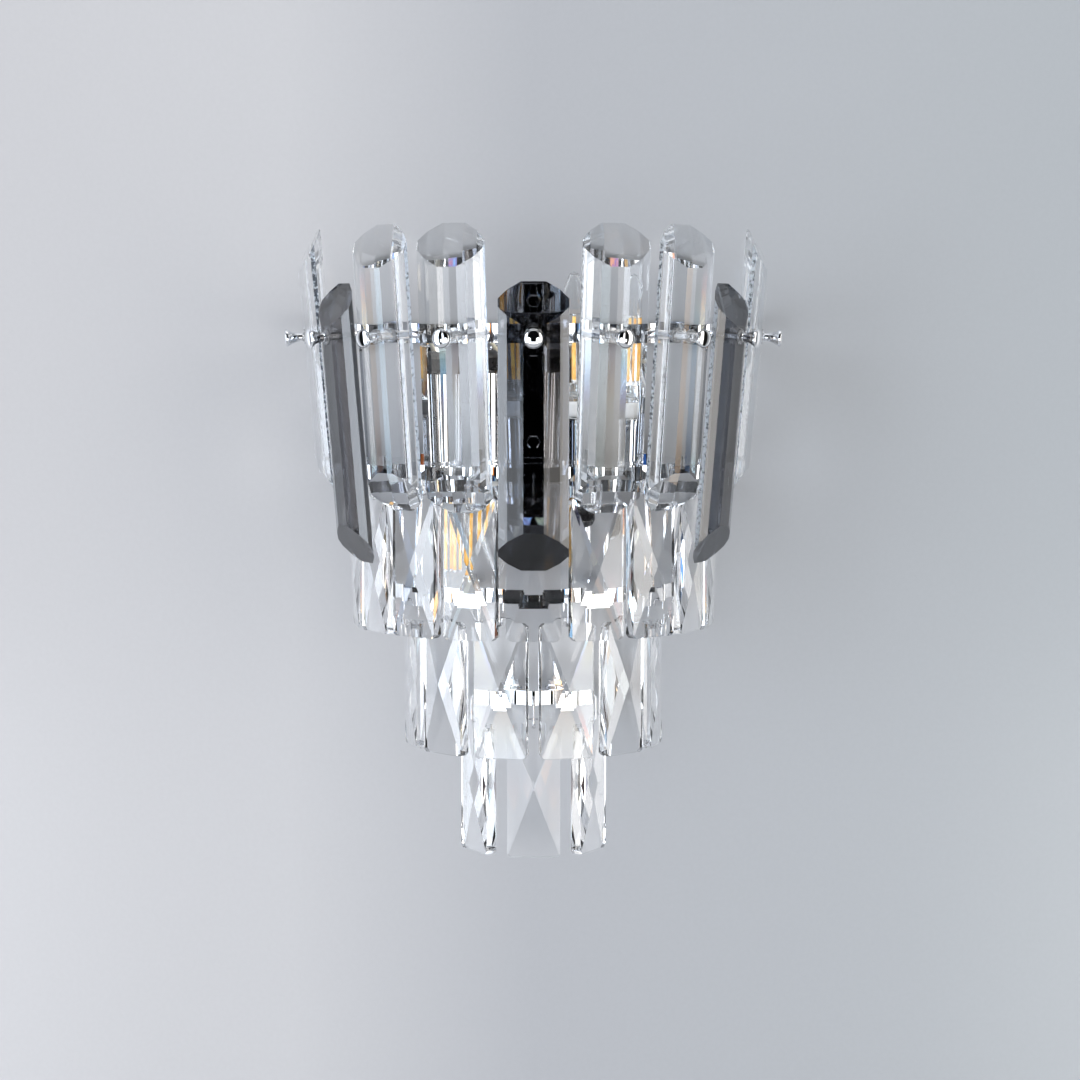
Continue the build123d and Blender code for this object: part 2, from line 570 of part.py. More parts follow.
for tier, radius, band_z, angles in TIERS:
    wire_radius = radius - BAND_THICKNESS / 2
    for number, angle in enumerate(angles, start=1):
        hole = band_plane(wire_radius, angle, band_z - HOOK_DROP)
        centre = hole.origin + hole.y_dir * (CRYSTAL_HOLE_BELOW_TOP - CRYSTAL_HEIGHT / 2)
        with BuildPart() as crystal:
            with BuildSketch(Plane(centre, x_dir=hole.x_dir, z_dir=hole.y_dir)):
                facet_outline(CRYSTAL_WIDTH)
            extrude(amount=CRYSTAL_HEIGHT / 2, both=True)
            with BuildSketch(Plane(centre, x_dir=hole.y_dir, z_dir=hole.x_dir)):
                facet_outline(CRYSTAL_HEIGHT)
            extrude(amount=CRYSTAL_WIDTH / 2, both=True, mode=Mode.INTERSECT)
            with BuildSketch(Plane(centre, x_dir=hole.x_dir, z_dir=hole.z_dir)):
                corners = Rectangle(CRYSTAL_WIDTH, CRYSTAL_HEIGHT)
                chamfer(corners.vertices(), CRYSTAL_CORNER)
            extrude(amount=CRYSTAL_THICKNESS, both=True, mode=Mode.INTERSECT)
            with BuildSketch(hole):
                Circle(CRYSTAL_HOLE_DIAMETER / 2)
            extrude(amount=CRYSTAL_THICKNESS, both=True, mode=Mode.SUBTRACT)
        write(crystal, f"{tier}_crystal_{number}")

    with BuildPart() as hooks:
        for angle in angles:
            hole = band_plane(wire_radius, angle, band_z)
            side = Plane(hole.origin, x_dir=hole.z_dir, z_dir=-hole.x_dir)
            with BuildLine(side) as wire:
                FilletPolyline(
                    (-HOOK_HALF_SPAN, -HOOK_BACK_LEG),
                    (-HOOK_HALF_SPAN, 0),
                    (HOOK_HALF_SPAN, 0),
                    (HOOK_HALF_SPAN, -HOOK_DROP),
                    (-HOOK_HALF_SPAN, -HOOK_DROP),
                    (-HOOK_HALF_SPAN, HOOK_END_RISE - HOOK_DROP),
                    radius=HOOK_BEND,
                )
            with BuildSketch(Plane(wire.line @ 0, z_dir=wire.line % 0)):
                Circle(HOOK_WIRE_DIAMETER / 2)
            sweep(path=wire.line)
    write(hooks, f"{tier}_hooks")

# ---------------------------------------------------------------- lamp sleeves and lampholders
LAMPS = (
    ("upper", UPPER_LAMP_X, UPPER_MOUTH_Z, 1),
    ("inverted", INVERTED_LAMP_X, INVERTED_MOUTH_Z, -1),
)

with BuildPart() as candle_sleeves:
    for _, lamp_x, mouth_z, way in LAMPS:
        with BuildSketch(Plane.XY.offset(mouth_z)):
            with Locations((lamp_x, LAMP_Y)):
                Circle(SLEEVE_DIAMETER / 2)
        extrude(amount=-way * SLEEVE_LENGTH)
        with BuildSketch(Plane.XY.offset(TRAY_TOP_Z)):
            with Locations((lamp_x, LAMP_Y)):
                Circle(SLEEVE_FLANGE_DIAMETER / 2)
        extrude(amount=SLEEVE_FLANGE_THICKNESS)
        with BuildSketch(Plane.XY.offset(mouth_z)):
            with Locations((lamp_x, LAMP_Y)):
                Circle(SLEEVE_DIAMETER / 2 - SLEEVE_WALL)
        extrude(amount=-way * SLEEVE_LENGTH, mode=Mode.SUBTRACT)
write(candle_sleeves, "candle_sleeves")

with BuildPart() as sleeve_nuts:
    with BuildSketch(Plane.XY.offset(TRAY_UNDER_Z - SLEEVE_NUT_HEIGHT)):
        with Locations((UPPER_LAMP_X, LAMP_Y), (INVERTED_LAMP_X, LAMP_Y)):
            Circle(SLEEVE_FLANGE_DIAMETER / 2)
            Circle(SLEEVE_DIAMETER / 2 + SEAT_GAP, mode=Mode.SUBTRACT)
    extrude(amount=SLEEVE_NUT_HEIGHT)
write(sleeve_nuts, "sleeve_nuts")

with BuildPart() as lampholders:
    body = HOLDER_DIAMETER / 2
    tail = HOLDER_TAIL_DIAMETER / 2
    shoulder = -SLEEVE_LENGTH
    tail_end = shoulder - HOLDER_TAIL_LENGTH
    for _, lamp_x, mouth_z, way in LAMPS:
        with BuildSketch(lamp_section(lamp_x, mouth_z, way)):
            with BuildLine():
                Polyline(
                    (0, -HOLDER_RECESS - SOCKET_DEPTH),
                    (SOCKET_DIAMETER / 2, -HOLDER_RECESS - SOCKET_DEPTH),
                    (SOCKET_DIAMETER / 2, -HOLDER_RECESS),
                    (body, -HOLDER_RECESS),
                    (body, shoulder),
                    (tail, shoulder),
                    (tail, tail_end + HOLDER_TAIL_LENGTH / 4),
                    (tail - HOLDER_TAIL_LENGTH / 4, tail_end),
                    (0, tail_end),
                    close=True,
                )
            make_face()
        revolve(axis=Axis((lamp_x, LAMP_Y, mouth_z), (0, 0, 1)))
write(lampholders, "lampholders")

# ---------------------------------------------------------------- bulbs
COLLAR_END = CAP_LENGTH + COLLAR_LENGTH

for name, lamp_x, mouth_z, way in LAMPS:
    cap_end_z = mouth_z - way * (CAP_LENGTH - LOOSE_GAP)
    section = lamp_section(lamp_x, cap_end_z, way)
    lamp_axis = Axis((lamp_x, LAMP_Y, cap_end_z), (0, 0, 1))
    cap = CAP_DIAMETER / 2
    contact = CAP_CONTACT_DIAMETER / 2
    with BuildPart() as bulb_cap:
        with BuildSketch(section):
            Polygon(
                (0, 0),
                (contact, 0),
                (contact, CAP_CONTACT_HEIGHT),
                (cap, CAP_CONTACT_HEIGHT + CAP_INSULATOR_HEIGHT),
                (cap, CAP_LENGTH),
                (0, CAP_LENGTH),
                align=None,
            )
        revolve(axis=lamp_axis)
    write(bulb_cap, f"{name}_bulb_cap")

    with BuildPart() as bulb_collar:
        with BuildSketch(section):
            Polygon(
                (0, CAP_LENGTH),
                (COLLAR_LOW_DIAMETER / 2, CAP_LENGTH),
                (COLLAR_TOP_DIAMETER / 2, COLLAR_END),
                (0, COLLAR_END),
                align=None,
            )
        revolve(axis=lamp_axis)
    write(bulb_collar, f"{name}_bulb_collar")

    neck = COLLAR_TOP_DIAMETER / 2
    belly = BULB_DIAMETER / 2
    waist = BULB_WAIST_DIAMETER / 2
    with BuildPart() as bulb_glass:
        for inset, mode in ((0.0, Mode.ADD), (BULB_WALL, Mode.SUBTRACT)):
            with BuildSketch(section):
                with BuildLine():
                    tip_z = BULB_LENGTH - inset
                    Polyline((0, tip_z), (0, COLLAR_END), (neck - inset, COLLAR_END))
                    ThreePointArc(
                        (neck - inset, COLLAR_END),
                        (belly - inset, COLLAR_END + BULB_BELLY_HEIGHT),
                        (waist - inset, COLLAR_END + BULB_WAIST_HEIGHT),
                    )
                    Polyline(
                        (waist - inset, COLLAR_END + BULB_WAIST_HEIGHT),
                        (BULB_TIP_RADIUS - inset / 2, tip_z - BULB_TIP_RADIUS),
                        (0, tip_z),
                    )
                make_face()
            revolve(axis=lamp_axis, mode=mode)
    write(bulb_glass, f"{name}_bulb_glass")

    filament_top = BULB_LENGTH - FILAMENT_FROM_TIP
    filament_low = filament_top - FILAMENT_LENGTH
    with BuildPart() as bulb_filaments:
        with BuildSketch(Plane((lamp_x, LAMP_Y, cap_end_z + way * COLLAR_END), z_dir=(0, 0, way))):
            Circle(STEM_DIAMETER / 2)
        extrude(amount=filament_low - COLLAR_END, taper=STEM_TAPER_ANGLE)
        for rack in (filament_low, filament_top):
            with BuildSketch(Plane((lamp_x, LAMP_Y, cap_end_z + way * rack), z_dir=(0, 0, way))):
                Rectangle(FILAMENT_CIRCLE_DIAMETER, LEAD_WIRE_DIAMETER)
                Rectangle(LEAD_WIRE_DIAMETER, FILAMENT_CIRCLE_DIAMETER)
            extrude(amount=LEAD_WIRE_DIAMETER / 2, both=True)
        with BuildSketch(Plane((lamp_x, LAMP_Y, cap_end_z + way * filament_low), z_dir=(0, 0, way))):
            with PolarLocations(FILAMENT_CIRCLE_DIAMETER / 2, FILAMENT_COUNT):
                Circle(FILAMENT_DIAMETER / 2)
        extrude(amount=FILAMENT_LENGTH)
    write(bulb_filaments, f"{name}_bulb_filaments")

# ---------------------------------------------------------------- wiring
with BuildPart() as terminal_block:
    with BuildSketch(Plane.XZ.offset(STRAP_THICKNESS)):
        with Locations((0, TERMINAL_Z)):
            Rectangle(TERMINAL_WIDTH, TERMINAL_HEIGHT)
    extrude(amount=TERMINAL_DEPTH)
    with BuildSketch(Plane.XY.offset(TERMINAL_Z - TERMINAL_HEIGHT / 2)):
        with Locations((0, LEAD_Y)):
            with GridLocations(TERMINAL_PITCH, 0, 2, 1):
                Circle(TERMINAL_BORE / 2)
    extrude(amount=TERMINAL_HEIGHT, mode=Mode.SUBTRACT)
    with BuildSketch(Plane.XZ.offset(STRAP_THICKNESS + TERMINAL_DEPTH)):
        with Locations((0, TERMINAL_Z)):
            with GridLocations(TERMINAL_PITCH, 0, 2, 1):
                Circle(TERMINAL_BORE / 2)
    extrude(amount=-TERMINAL_DEPTH / 2, mode=Mode.SUBTRACT)
write(terminal_block, "terminal_block")

LEADS = (
    (
        "inverted_lamp_lead",
        (
            (-TERMINAL_PITCH / 2, LEAD_Y, TERMINAL_Z + TERMINAL_HEIGHT / 2),
            (-TERMINAL_PITCH / 2, LEAD_Y, INVERTED_LEAD_HOLE_Z),
            (INVERTED_LEAD_HOLE_X, LEAD_Y, INVERTED_LEAD_HOLE_Z),
            (INVERTED_LEAD_HOLE_X, -LEAD_RISE_DEPTH, INVERTED_LEAD_HOLE_Z),
            (INVERTED_LAMP_X, LAMP_Y, INVERTED_MOUTH_Z + HOLDER_LENGTH + LEAD_LOOP),
            (INVERTED_LAMP_X, LAMP_Y, INVERTED_MOUTH_Z + HOLDER_LENGTH),
        ),
    ),
    (
        "upper_lamp_lead",
        (
            (TERMINAL_PITCH / 2, LEAD_Y, TERMINAL_Z - TERMINAL_HEIGHT / 2),
            (TERMINAL_PITCH / 2, LEAD_Y, CABLE_HOLE_Z),
            (UPPER_LEAD_HOLE_X, LEAD_Y, CABLE_HOLE_Z - CABLE_HOLE_DIAMETER),
            (UPPER_LEAD_HOLE_X, LEAD_Y, UPPER_LEAD_EXIT_Z),
            (UPPER_LEAD_HOLE_X, LAMP_Y / 2, UPPER_LEAD_EXIT_Z),
            (UPPER_LAMP_X, LAMP_Y, UPPER_MOUTH_Z - HOLDER_LENGTH - LEAD_LOOP),
            (UPPER_LAMP_X, LAMP_Y, UPPER_MOUTH_Z - HOLDER_LENGTH),
        ),
    ),
)

for name, route in LEADS:
    with BuildPart() as lead:
        with BuildLine() as path:
            FilletPolyline(*route, radius=LEAD_BEND)
        with BuildSketch(Plane(path.line @ 0, z_dir=path.line % 0)):
            Circle(LEAD_DIAMETER / 2)
        sweep(path=path.line)
    write(lead, name)
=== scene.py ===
"""Looks of a half-round crystal wall sconce: chromed bands, faceted bars, cut crystals and two candle lamps.

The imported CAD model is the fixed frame. Faceted glass and pressed metal keep their CAD meshes and get
finishes. Turned, bent and blown pieces are made here as surfaces worked out with numpy. Metres: the wall is
the plane Y = 0, the sconce stands out towards -Y, X is to the right and Z is up.
"""

import logging
from dataclasses import dataclass, field
from enum import Enum
from math import cos, pi, radians, sin, tau

import bmesh
import bpy
import numpy as np
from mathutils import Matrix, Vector


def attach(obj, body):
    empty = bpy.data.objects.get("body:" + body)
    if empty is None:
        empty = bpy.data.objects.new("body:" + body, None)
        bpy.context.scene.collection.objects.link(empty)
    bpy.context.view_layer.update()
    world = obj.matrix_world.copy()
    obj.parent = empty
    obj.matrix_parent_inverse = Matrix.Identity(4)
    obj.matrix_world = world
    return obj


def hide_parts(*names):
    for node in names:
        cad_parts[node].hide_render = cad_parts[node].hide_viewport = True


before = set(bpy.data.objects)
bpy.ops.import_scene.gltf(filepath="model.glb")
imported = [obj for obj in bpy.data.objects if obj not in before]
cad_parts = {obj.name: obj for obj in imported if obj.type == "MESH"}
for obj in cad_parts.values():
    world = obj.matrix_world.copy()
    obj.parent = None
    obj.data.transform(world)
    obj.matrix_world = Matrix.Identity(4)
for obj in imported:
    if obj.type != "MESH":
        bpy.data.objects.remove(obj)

LOG = logging.getLogger("sconce")
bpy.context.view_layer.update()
MM = 0.001
Array = np.ndarray


class Slot(Enum):
    """The record's material slots."""

    CHROME = "chrome"
    HOOK_WIRE = "hook_wire"
    ZINC = "zinc_steel"
    CLEAR_GLASS = "clear_glass"
    SMOKED_GLASS = "smoked_glass"
    CRYSTAL = "crystal"
    BULB_GLASS = "bulb_glass"
    FILAMENT = "filament"
    NICKEL = "nickel_cap"
    WHITE_PLASTIC = "white_plastic"
    BLACK_PLASTIC = "black_plastic"
    NYLON = "clear_nylon"
    CREAM = "cream_insulation"


class Way(Enum):
    """Which way a candle lamp points."""

    UP = 1
    DOWN = -1


# ------------------------------------------------------------------ surfaces
@dataclass
class Surface:
    """Points and the four-sided faces between them."""

    points: Array
    faces: Array

    def flipped(self) -> "Surface":
        """The same surface, facing the other way."""
        return Surface(self.points, self.faces[:, ::-1])


@dataclass(frozen=True)
class Seat:
    """A place with three directions: across, beside and along the axis of a piece."""

    origin: Array
    across: Array
    beside: Array
    along: Array

    def shifted(self, distance: float) -> "Seat":
        """The seat moved along its axis."""
        return Seat(self.origin + self.along * distance, self.across, self.beside, self.along)


def grid_surface(points: Array, loop_rows: bool = False, loop_columns: bool = False) -> Surface:
    """Joins a grid of points into faces.

    Args:
        points: Rows by columns by 3.
        loop_rows: Whether the last row joins the first.
        loop_columns: Whether the last column joins the first.

    Returns:
        The surface, facing along the cross product of the column and the row direction.
    """
    rows, columns = points.shape[:2]
    row = np.arange(rows if loop_rows else rows - 1)
    column = np.arange(columns if loop_columns else columns - 1)
    i, j = (a.ravel() for a in np.meshgrid(row, column, indexing="ij"))
    next_i, next_j = (i + 1) % rows, (j + 1) % columns
    corners = (i * columns + j, i * columns + next_j, next_i * columns + next_j, next_i * columns + j)
    return Surface(points.reshape(-1, 3), np.stack(corners, axis=1))


def turned(profile: Array, seat: Seat, steps: int = 48) -> Surface:
    """Turns a profile round a seat's axis.

    Each point (radius r, height h) at the angle t lies at origin + r cos t across + r sin t beside + h along.

    Args:
        profile: Points of (radius, height), from the foot outside up to the tip.
        seat: Where the piece stands.
        steps: How many faces go round.

    Returns:
        The turned surface, facing outwards.
    """
    angle = np.arange(steps) * tau / steps
    round_way = np.cos(angle)[:, None] * seat.across + np.sin(angle)[:, None] * seat.beside
    radius, height = profile[:, 0], profile[:, 1]
    points = seat.origin + radius[:, None, None] * round_way + height[:, None, None] * seat.along
    return grid_surface(points, loop_columns=True)


def joined(surfaces: list[Surface]) -> Surface:
    """Puts several surfaces into one."""
    counts = np.cumsum([0] + [len(s.points) for s in surfaces[:-1]])
    faces = [s.faces + shift for s, shift in zip(surfaces, counts)]
    return Surface(np.concatenate([s.points for s in surfaces]), np.concatenate(faces))


def eased(corners: list[tuple[float, float]], radius: float, steps: int = 5) -> Array:
    """Rounds the corners of an open line.

    Each corner is replaced by points q(t) = (1-t)^2 a + 2t(1-t) corner + t^2 b, where a and b lie on its two
    runs, one radius away or half the run if that is shorter.

    Args:
        corners: The line's points in its own plane.
        radius: How far from a corner its bend begins.
        steps: How many pieces each bend has.

    Returns:
        The points of the eased line.
    """
    line = np.array(corners, float)
    t = np.linspace(0, 1, steps + 1)[:, None]
    parts = [line[:1]]
    for before, corner, after in zip(line[:-2], line[1:-1], line[2:]):
        ends = []
        for other in (before, after):
            run = other - corner
            length = np.linalg.norm(run)
            ends.append(corner + run / length * min(radius, 0.49 * length))
        parts.append((1 - t) ** 2 * ends[0] + 2 * t * (1 - t) * corner + t**2 * ends[1])
    parts.append(line[-1:])
    return np.concatenate(parts)


def flowing(knots: list[tuple[float, float]], steps: int = 10) -> Array:
    """A smooth line through knots, by Hermite pieces whose slopes are half the step between neighbours.

    Args:
        knots: The points that the line passes through.
        steps: How many pieces each run has.

    Returns:
        The points of the line.
    """
    p = np.array(knots, float)
    slope = np.gradient(p, axis=0)
    t = np.linspace(0, 1, steps, endpoint=False)[:, None, None]
    start, end, m0, m1 = p[:-1], p[1:], slope[:-1], slope[1:]
    curve = (
        (2 * t**3 - 3 * t**2 + 1) * start
        + (t**3 - 2 * t**2 + t) * m0
        + (3 * t**2 - 2 * t**3) * end
        + (t**3 - t**2) * m1
    )
    return np.concatenate([curve.transpose(1, 0, 2).reshape(-1, p.shape[1]), p[-1:]])


def tube(line: Array, side: Array, radius: float, steps: int = 12) -> Surface:
    """Carries a round section along a line that lies in one plane, and closes both ends with a dome.

    Args:
        line: Points of the centre line, n by 3.
        side: The unit vector square to the line's plane.
        radius: Radius of the section.
        steps: How many faces go round.

    Returns:
        The closed tube.
    """
    tangent = np.gradient(line, axis=0)
    tangent /= np.linalg.norm(tangent, axis=1)[:, None]
    up = np.cross(tangent, side)
    dome = np.sin(np.linspace(0, pi / 2, 4))
    shrink = np.concatenate([dome, np.ones(len(line) - 2), dome[::-1]])
    reach = radius * (1 - np.sqrt(np.clip(1 - dome**2, 0, 1)))
    lead_in = line[0] + tangent[0] * reach[:, None]
    lead_out = line[-1] - tangent[-1] * reach[::-1, None]
    centre = np.concatenate([lead_in, line[1:-1], lead_out])
    up = np.concatenate([np.repeat(up[:1], 4, axis=0), up[1:-1], np.repeat(up[-1:], 4, axis=0)])
    angle = np.arange(steps) * tau / steps
    ring = np.cos(angle)[None, :, None] * up[:, None] + np.sin(angle)[None, :, None] * side
    return grid_surface(centre[:, None] + radius * shrink[:, None, None] * ring, loop_columns=True)


def as_piece(
    name: str,
    surface: Surface,
    finish: bpy.types.Material,
    body: str = "root",
    stands_for: tuple[str, ...] = (),
    crease: float = 35.0,
) -> bpy.types.Object:
    """Makes a surface into a piece of the sconce.

    Args:
        name: Name of the piece.
        surface: Its points and faces in the row frame.
        finish: Its material.
        body: The body that it moves with.
        stands_for: CAD nodes that it is shown instead of.
        crease: Edges sharper than this many degrees stay sharp.

    Returns:
        The object, at the origin.
    """
    mesh = bpy.data.meshes.new(name)
    mesh.from_pydata(surface.points, [], surface.faces)
    work = bmesh.new()
    work.from_mesh(mesh)
    bmesh.ops.remove_doubles(work, verts=work.verts, dist=1e-7)
    bmesh.ops.dissolve_degenerate(work, edges=work.edges, dist=1e-8)
    bmesh.ops.recalc_face_normals(work, faces=work.faces)
    work.to_mesh(mesh)
    work.free()
    mesh.shade_smooth()
    mesh.set_sharp_from_angle(angle=radians(crease))
    mesh.materials.append(finish)
    piece = bpy.data.objects.new(name, mesh)
    bpy.context.scene.collection.objects.link(piece)
    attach(piece, body)
    if stands_for:
        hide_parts(*stands_for)
    LOG.info("%s: %d faces, on %s", name, len(mesh.polygons), body)
    return piece


# ------------------------------------------------------------------ shader graphs
class Graph:
    """A node tree with short ways to add and join its nodes."""

    def __init__(self, tree: bpy.types.NodeTree) -> None:
        """Starts on an empty tree."""
        self.tree = tree
        tree.nodes.clear()

    def node(self, kind: str, inputs: dict | None = None, **settings: object) -> bpy.types.Node:
        """Adds a node.

        Args:
            kind: The node's type.
            inputs: Socket name or number to a value or to the socket that feeds it.
            **settings: The node's own settings.

        Returns:
            The node.
        """
        made = self.tree.nodes.new(kind)
        for key, value in settings.items():
            setattr(made, key, value)
        for key, value in (inputs or {}).items():
            if isinstance(value, bpy.types.NodeSocket):
                self.tree.links.new(value, made.inputs[key])
            else:
                made.inputs[key].default_value = value
        return made

    def math(self, operation: str, *values: object, clamp: bool = False) -> bpy.types.NodeSocket:
        """One sum of numbers."""
        made = self.node("ShaderNodeMath", dict(enumerate(values)), operation=operation, use_clamp=clamp)
        return made.outputs[0]

    def vector(self, operation: str, *values: object) -> bpy.types.Node:
        """One sum of vectors."""
        return self.node("ShaderNodeVectorMath", dict(enumerate(values)), operation=operation)

    def step(
        self, value: object, low: float, high: float, start: float = 0.0, end: float = 1.0
    ) -> bpy.types.NodeSocket:
        """A smooth step of a value from start at low to end at high."""
        inputs = {"Value": value, "From Min": low, "From Max": high, "To Min": start, "To Max": end}
        made = self.node("ShaderNodeMapRange", inputs, interpolation_type="SMOOTHSTEP")
        return made.outputs["Result"]

    def mix(self, factor: object, first: object, second: object) -> bpy.types.NodeSocket:
        """A mix of two colours."""
        made = self.node("ShaderNodeMix", {0: factor, 6: first, 7: second}, data_type="RGBA")
        return made.outputs[2]

    def ramp(self, value: object, stops: tuple, sharp: bool = False) -> bpy.types.NodeSocket:
        """A colour that changes along a value.

        Args:
            value: The value, from 0 to 1.
            stops: Places in rising order, each with its colour.
            sharp: Whether each colour holds until the next place.

        Returns:
            The colour.
        """
        made = self.node("ShaderNodeValToRGB", {0: value})
        made.color_ramp.interpolation = "CONSTANT" if sharp else "LINEAR"
        elements = made.color_ramp.elements
        first, *others, last = stops
        elements[0].position, elements[0].color = first[0], (*first[1], 1.0)
        elements[1].position, elements[1].color = last[0], (*last[1], 1.0)
        for place, tint in others:
            elements.new(place).color = (*tint, 1.0)
        return made.outputs["Color"]

    def noise(
        self, vector: object, scale: float, detail: float = 3.0, roughness: float = 0.5
    ) -> bpy.types.NodeSocket:
        """Values of a noise."""
        inputs = {"Vector": vector, "Scale": scale, "Detail": detail, "Roughness": roughness}
        return self.node("ShaderNodeTexNoise", inputs).outputs["Fac"]


def group(name: str, inputs: dict[str, str], outputs: dict[str, str]) -> tuple[Graph, bpy.types.Node]:
    """Starts a shader node group.

    Args:
        name: The group's name.
        inputs: Name to socket type of what goes in.
        outputs: Name to socket type of what comes out.

    Returns:
        The group's graph and the node that holds its inputs.
    """
    tree = bpy.data.node_groups.new(name, "ShaderNodeTree")
    for label, kind in inputs.items():
        tree.interface.new_socket(label, in_out="INPUT", socket_type=kind)
    for label, kind in outputs.items():
        tree.interface.new_socket(label, in_out="OUTPUT", socket_type=kind)
    graph = Graph(tree)
    return graph, graph.node("NodeGroupInput")


FLOAT = "NodeSocketFloat"
VECTOR = "NodeSocketVector"
COLOUR = "NodeSocketColor"


def handled_surface_group() -> bpy.types.NodeTree:
    """Fine wear of a handled surface: broad smears, small specks and a slow change of tint."""
    inputs = {"Position": VECTOR, "Grain": FLOAT, "Smooth": FLOAT, "Rough": FLOAT}
    inputs |= {"Tint": COLOUR, "Worn Tint": COLOUR}
    graph, given = group("handled_surface", inputs, {"Color": COLOUR, "Roughness": FLOAT, "Height": FLOAT})
    at = given.outputs["Position"]
    grain = given.outputs["Grain"]
    smear = graph.node("ShaderNodeTexNoise", {"Vector": at, "Scale": 38.0, "Detail": 4.0, "Roughness": 0.6})
    fine = graph.node("ShaderNodeTexNoise", {"Vector": at, "Scale": grain, "Detail": 2.0})
    smeared = graph.step(smear.outputs["Fac"], 0.42, 0.72)
    specked = graph.step(fine.outputs["Fac"], 0.55, 0.75)
    wear = graph.math("ADD", graph.math("MULTIPLY", smeared, 0.7), graph.math("MULTIPLY", specked, 0.3))
    colour = graph.mix(wear, given.outputs["Tint"], given.outputs["Worn Tint"])
    spread = graph.math("SUBTRACT", given.outputs["Rough"], given.outputs["Smooth"])
    rough = graph.math("MULTIPLY_ADD", wear, spread, given.outputs["Smooth"])
    graph.node("NodeGroupOutput", {"Color": colour, "Roughness": rough, "Height": fine.outputs["Fac"]})
    return graph.tree


# Painted reflection: how light the ground edges are painted, by the way they face from the left (0) to the
# right (1), in place of the bright and dark parts of the studio that each edge would reflect. Set one by one.
PAINTED_EDGE_REFLECTION = (
    (0.03, 0.7), (0.117, 1.0), (0.25, 0.45), (0.415, 0.9),
    (0.585, 0.55), (0.75, 0.5), (0.883, 0.0), (0.97, 1.0),
)
# Where each facet of a bar starts, from the left outer one over the flat front to the right outer one.
FACET_STARTS = (0.0, 0.207, 0.393, 0.607, 0.793)


def ground_edge_group() -> bpy.types.NodeTree:
    """Tells the faces of a glass bar apart, and gives its long saw-cut edges their coarse grain.

    With P the place and N the facing, t = (z cross P) / |z cross P| is the way along the band. The mask rises
    where |N . t| passes 0.85, which only the two narrow edge faces of a bar reach. Across is N . t, Slant is
    how far a face looks up or down, and Aside is 0 on the centre bar and 1 on the others. The specks on the
    edges are grain, and their share is painted reflection: it grows where an edge faces bright parts of the
    studio.
    """
    graph, given = group(
        "ground_edge",
        {"Position": VECTOR, "Facing": VECTOR},
        {"Mask": FLOAT, "Height": FLOAT, "Speckle": FLOAT, "Across": FLOAT, "Slant": FLOAT, "Aside": FLOAT},
    )
    flat = graph.vector("MULTIPLY", given.outputs["Position"], (1.0, 1.0, 0.0)).outputs[0]
    round_way = graph.vector("CROSS_PRODUCT", (0.0, 0.0, 1.0), flat).outputs[0]
    along = graph.vector("NORMALIZE", round_way).outputs[0]
    dot = graph.vector("DOT_PRODUCT", given.outputs["Facing"], along).outputs["Value"]
    mask = graph.step(graph.math("ABSOLUTE", dot), 0.82, 0.9)
    grain = graph.node(
        "ShaderNodeTexVoronoi", {"Vector": given.outputs["Position"], "Scale": 900.0}, feature="F1"
    ).outputs["Distance"]
    coarse = graph.noise(given.outputs["Position"], 600.0, 5.0, 0.7)
    sides = graph.node("ShaderNodeSeparateXYZ", {0: given.outputs["Facing"]})
    places = graph.node("ShaderNodeSeparateXYZ", {0: given.outputs["Position"]})
    greys = tuple((place, (level, level, level)) for place, level in PAINTED_EDGE_REFLECTION)
    # Painted reflection: the edge's facing picks a listed level, and a higher level gives more pale specks.
    painted_reflection = graph.ramp(graph.step(sides.outputs["X"], -1.0, 1.0), greys)
    shifted = graph.math("ADD", coarse, graph.step(painted_reflection, 0.0, 1.0, -0.08, 0.18))
    height = graph.math("ADD", grain, coarse)
    graph.node(
        "NodeGroupOutput",
        {
            "Mask": mask,
            "Height": graph.math("MULTIPLY", height, mask),
            "Speckle": graph.math("MULTIPLY", graph.step(shifted, 0.56, 0.68), mask),
            "Across": dot,
            "Slant": graph.math("ABSOLUTE", sides.outputs["Z"]),
            "Aside": graph.step(graph.math("ABSOLUTE", places.outputs["X"]), 0.024, 0.034),
        },
    )
    return graph.tree


HANDLED = handled_surface_group()
GROUND_EDGE = ground_edge_group()


def material(name: str) -> tuple[Graph, bpy.types.Node, bpy.types.NodeSocket]:
    """Starts a material.

    Args:
        name: The material's name.

    Returns:
        Its graph, its texture coordinate node and the place on the piece.
    """
    made = bpy.data.materials.new(name)
    made.use_nodes = True
    graph = Graph(made.node_tree)
    coordinates = graph.node("ShaderNodeTexCoord")
    return graph, coordinates, coordinates.outputs["Object"]


def shadowless(graph: Graph, surface: bpy.types.NodeSocket, let_through: tuple[float, float, float]) -> None:
    """Lets light fall through clear glass: shadow and diffuse rays meet a faint filter in place of the glass.

    Args:
        graph: The material's graph.
        surface: The glass shader.
        let_through: The colour that the light keeps at each face.
    """
    path = graph.node("ShaderNodeLightPath")
    clear = graph.node("ShaderNodeBsdfTransparent", {"Color": (*let_through, 1.0)})
    factor = graph.math("MAXIMUM", path.outputs["Is Shadow Ray"], path.outputs["Is Diffuse Ray"])
    both = graph.node("ShaderNodeMixShader", {0: factor, 1: surface, 2: clear.outputs[0]})
    graph.node("ShaderNodeOutputMaterial", {"Surface": both.outputs[0]})


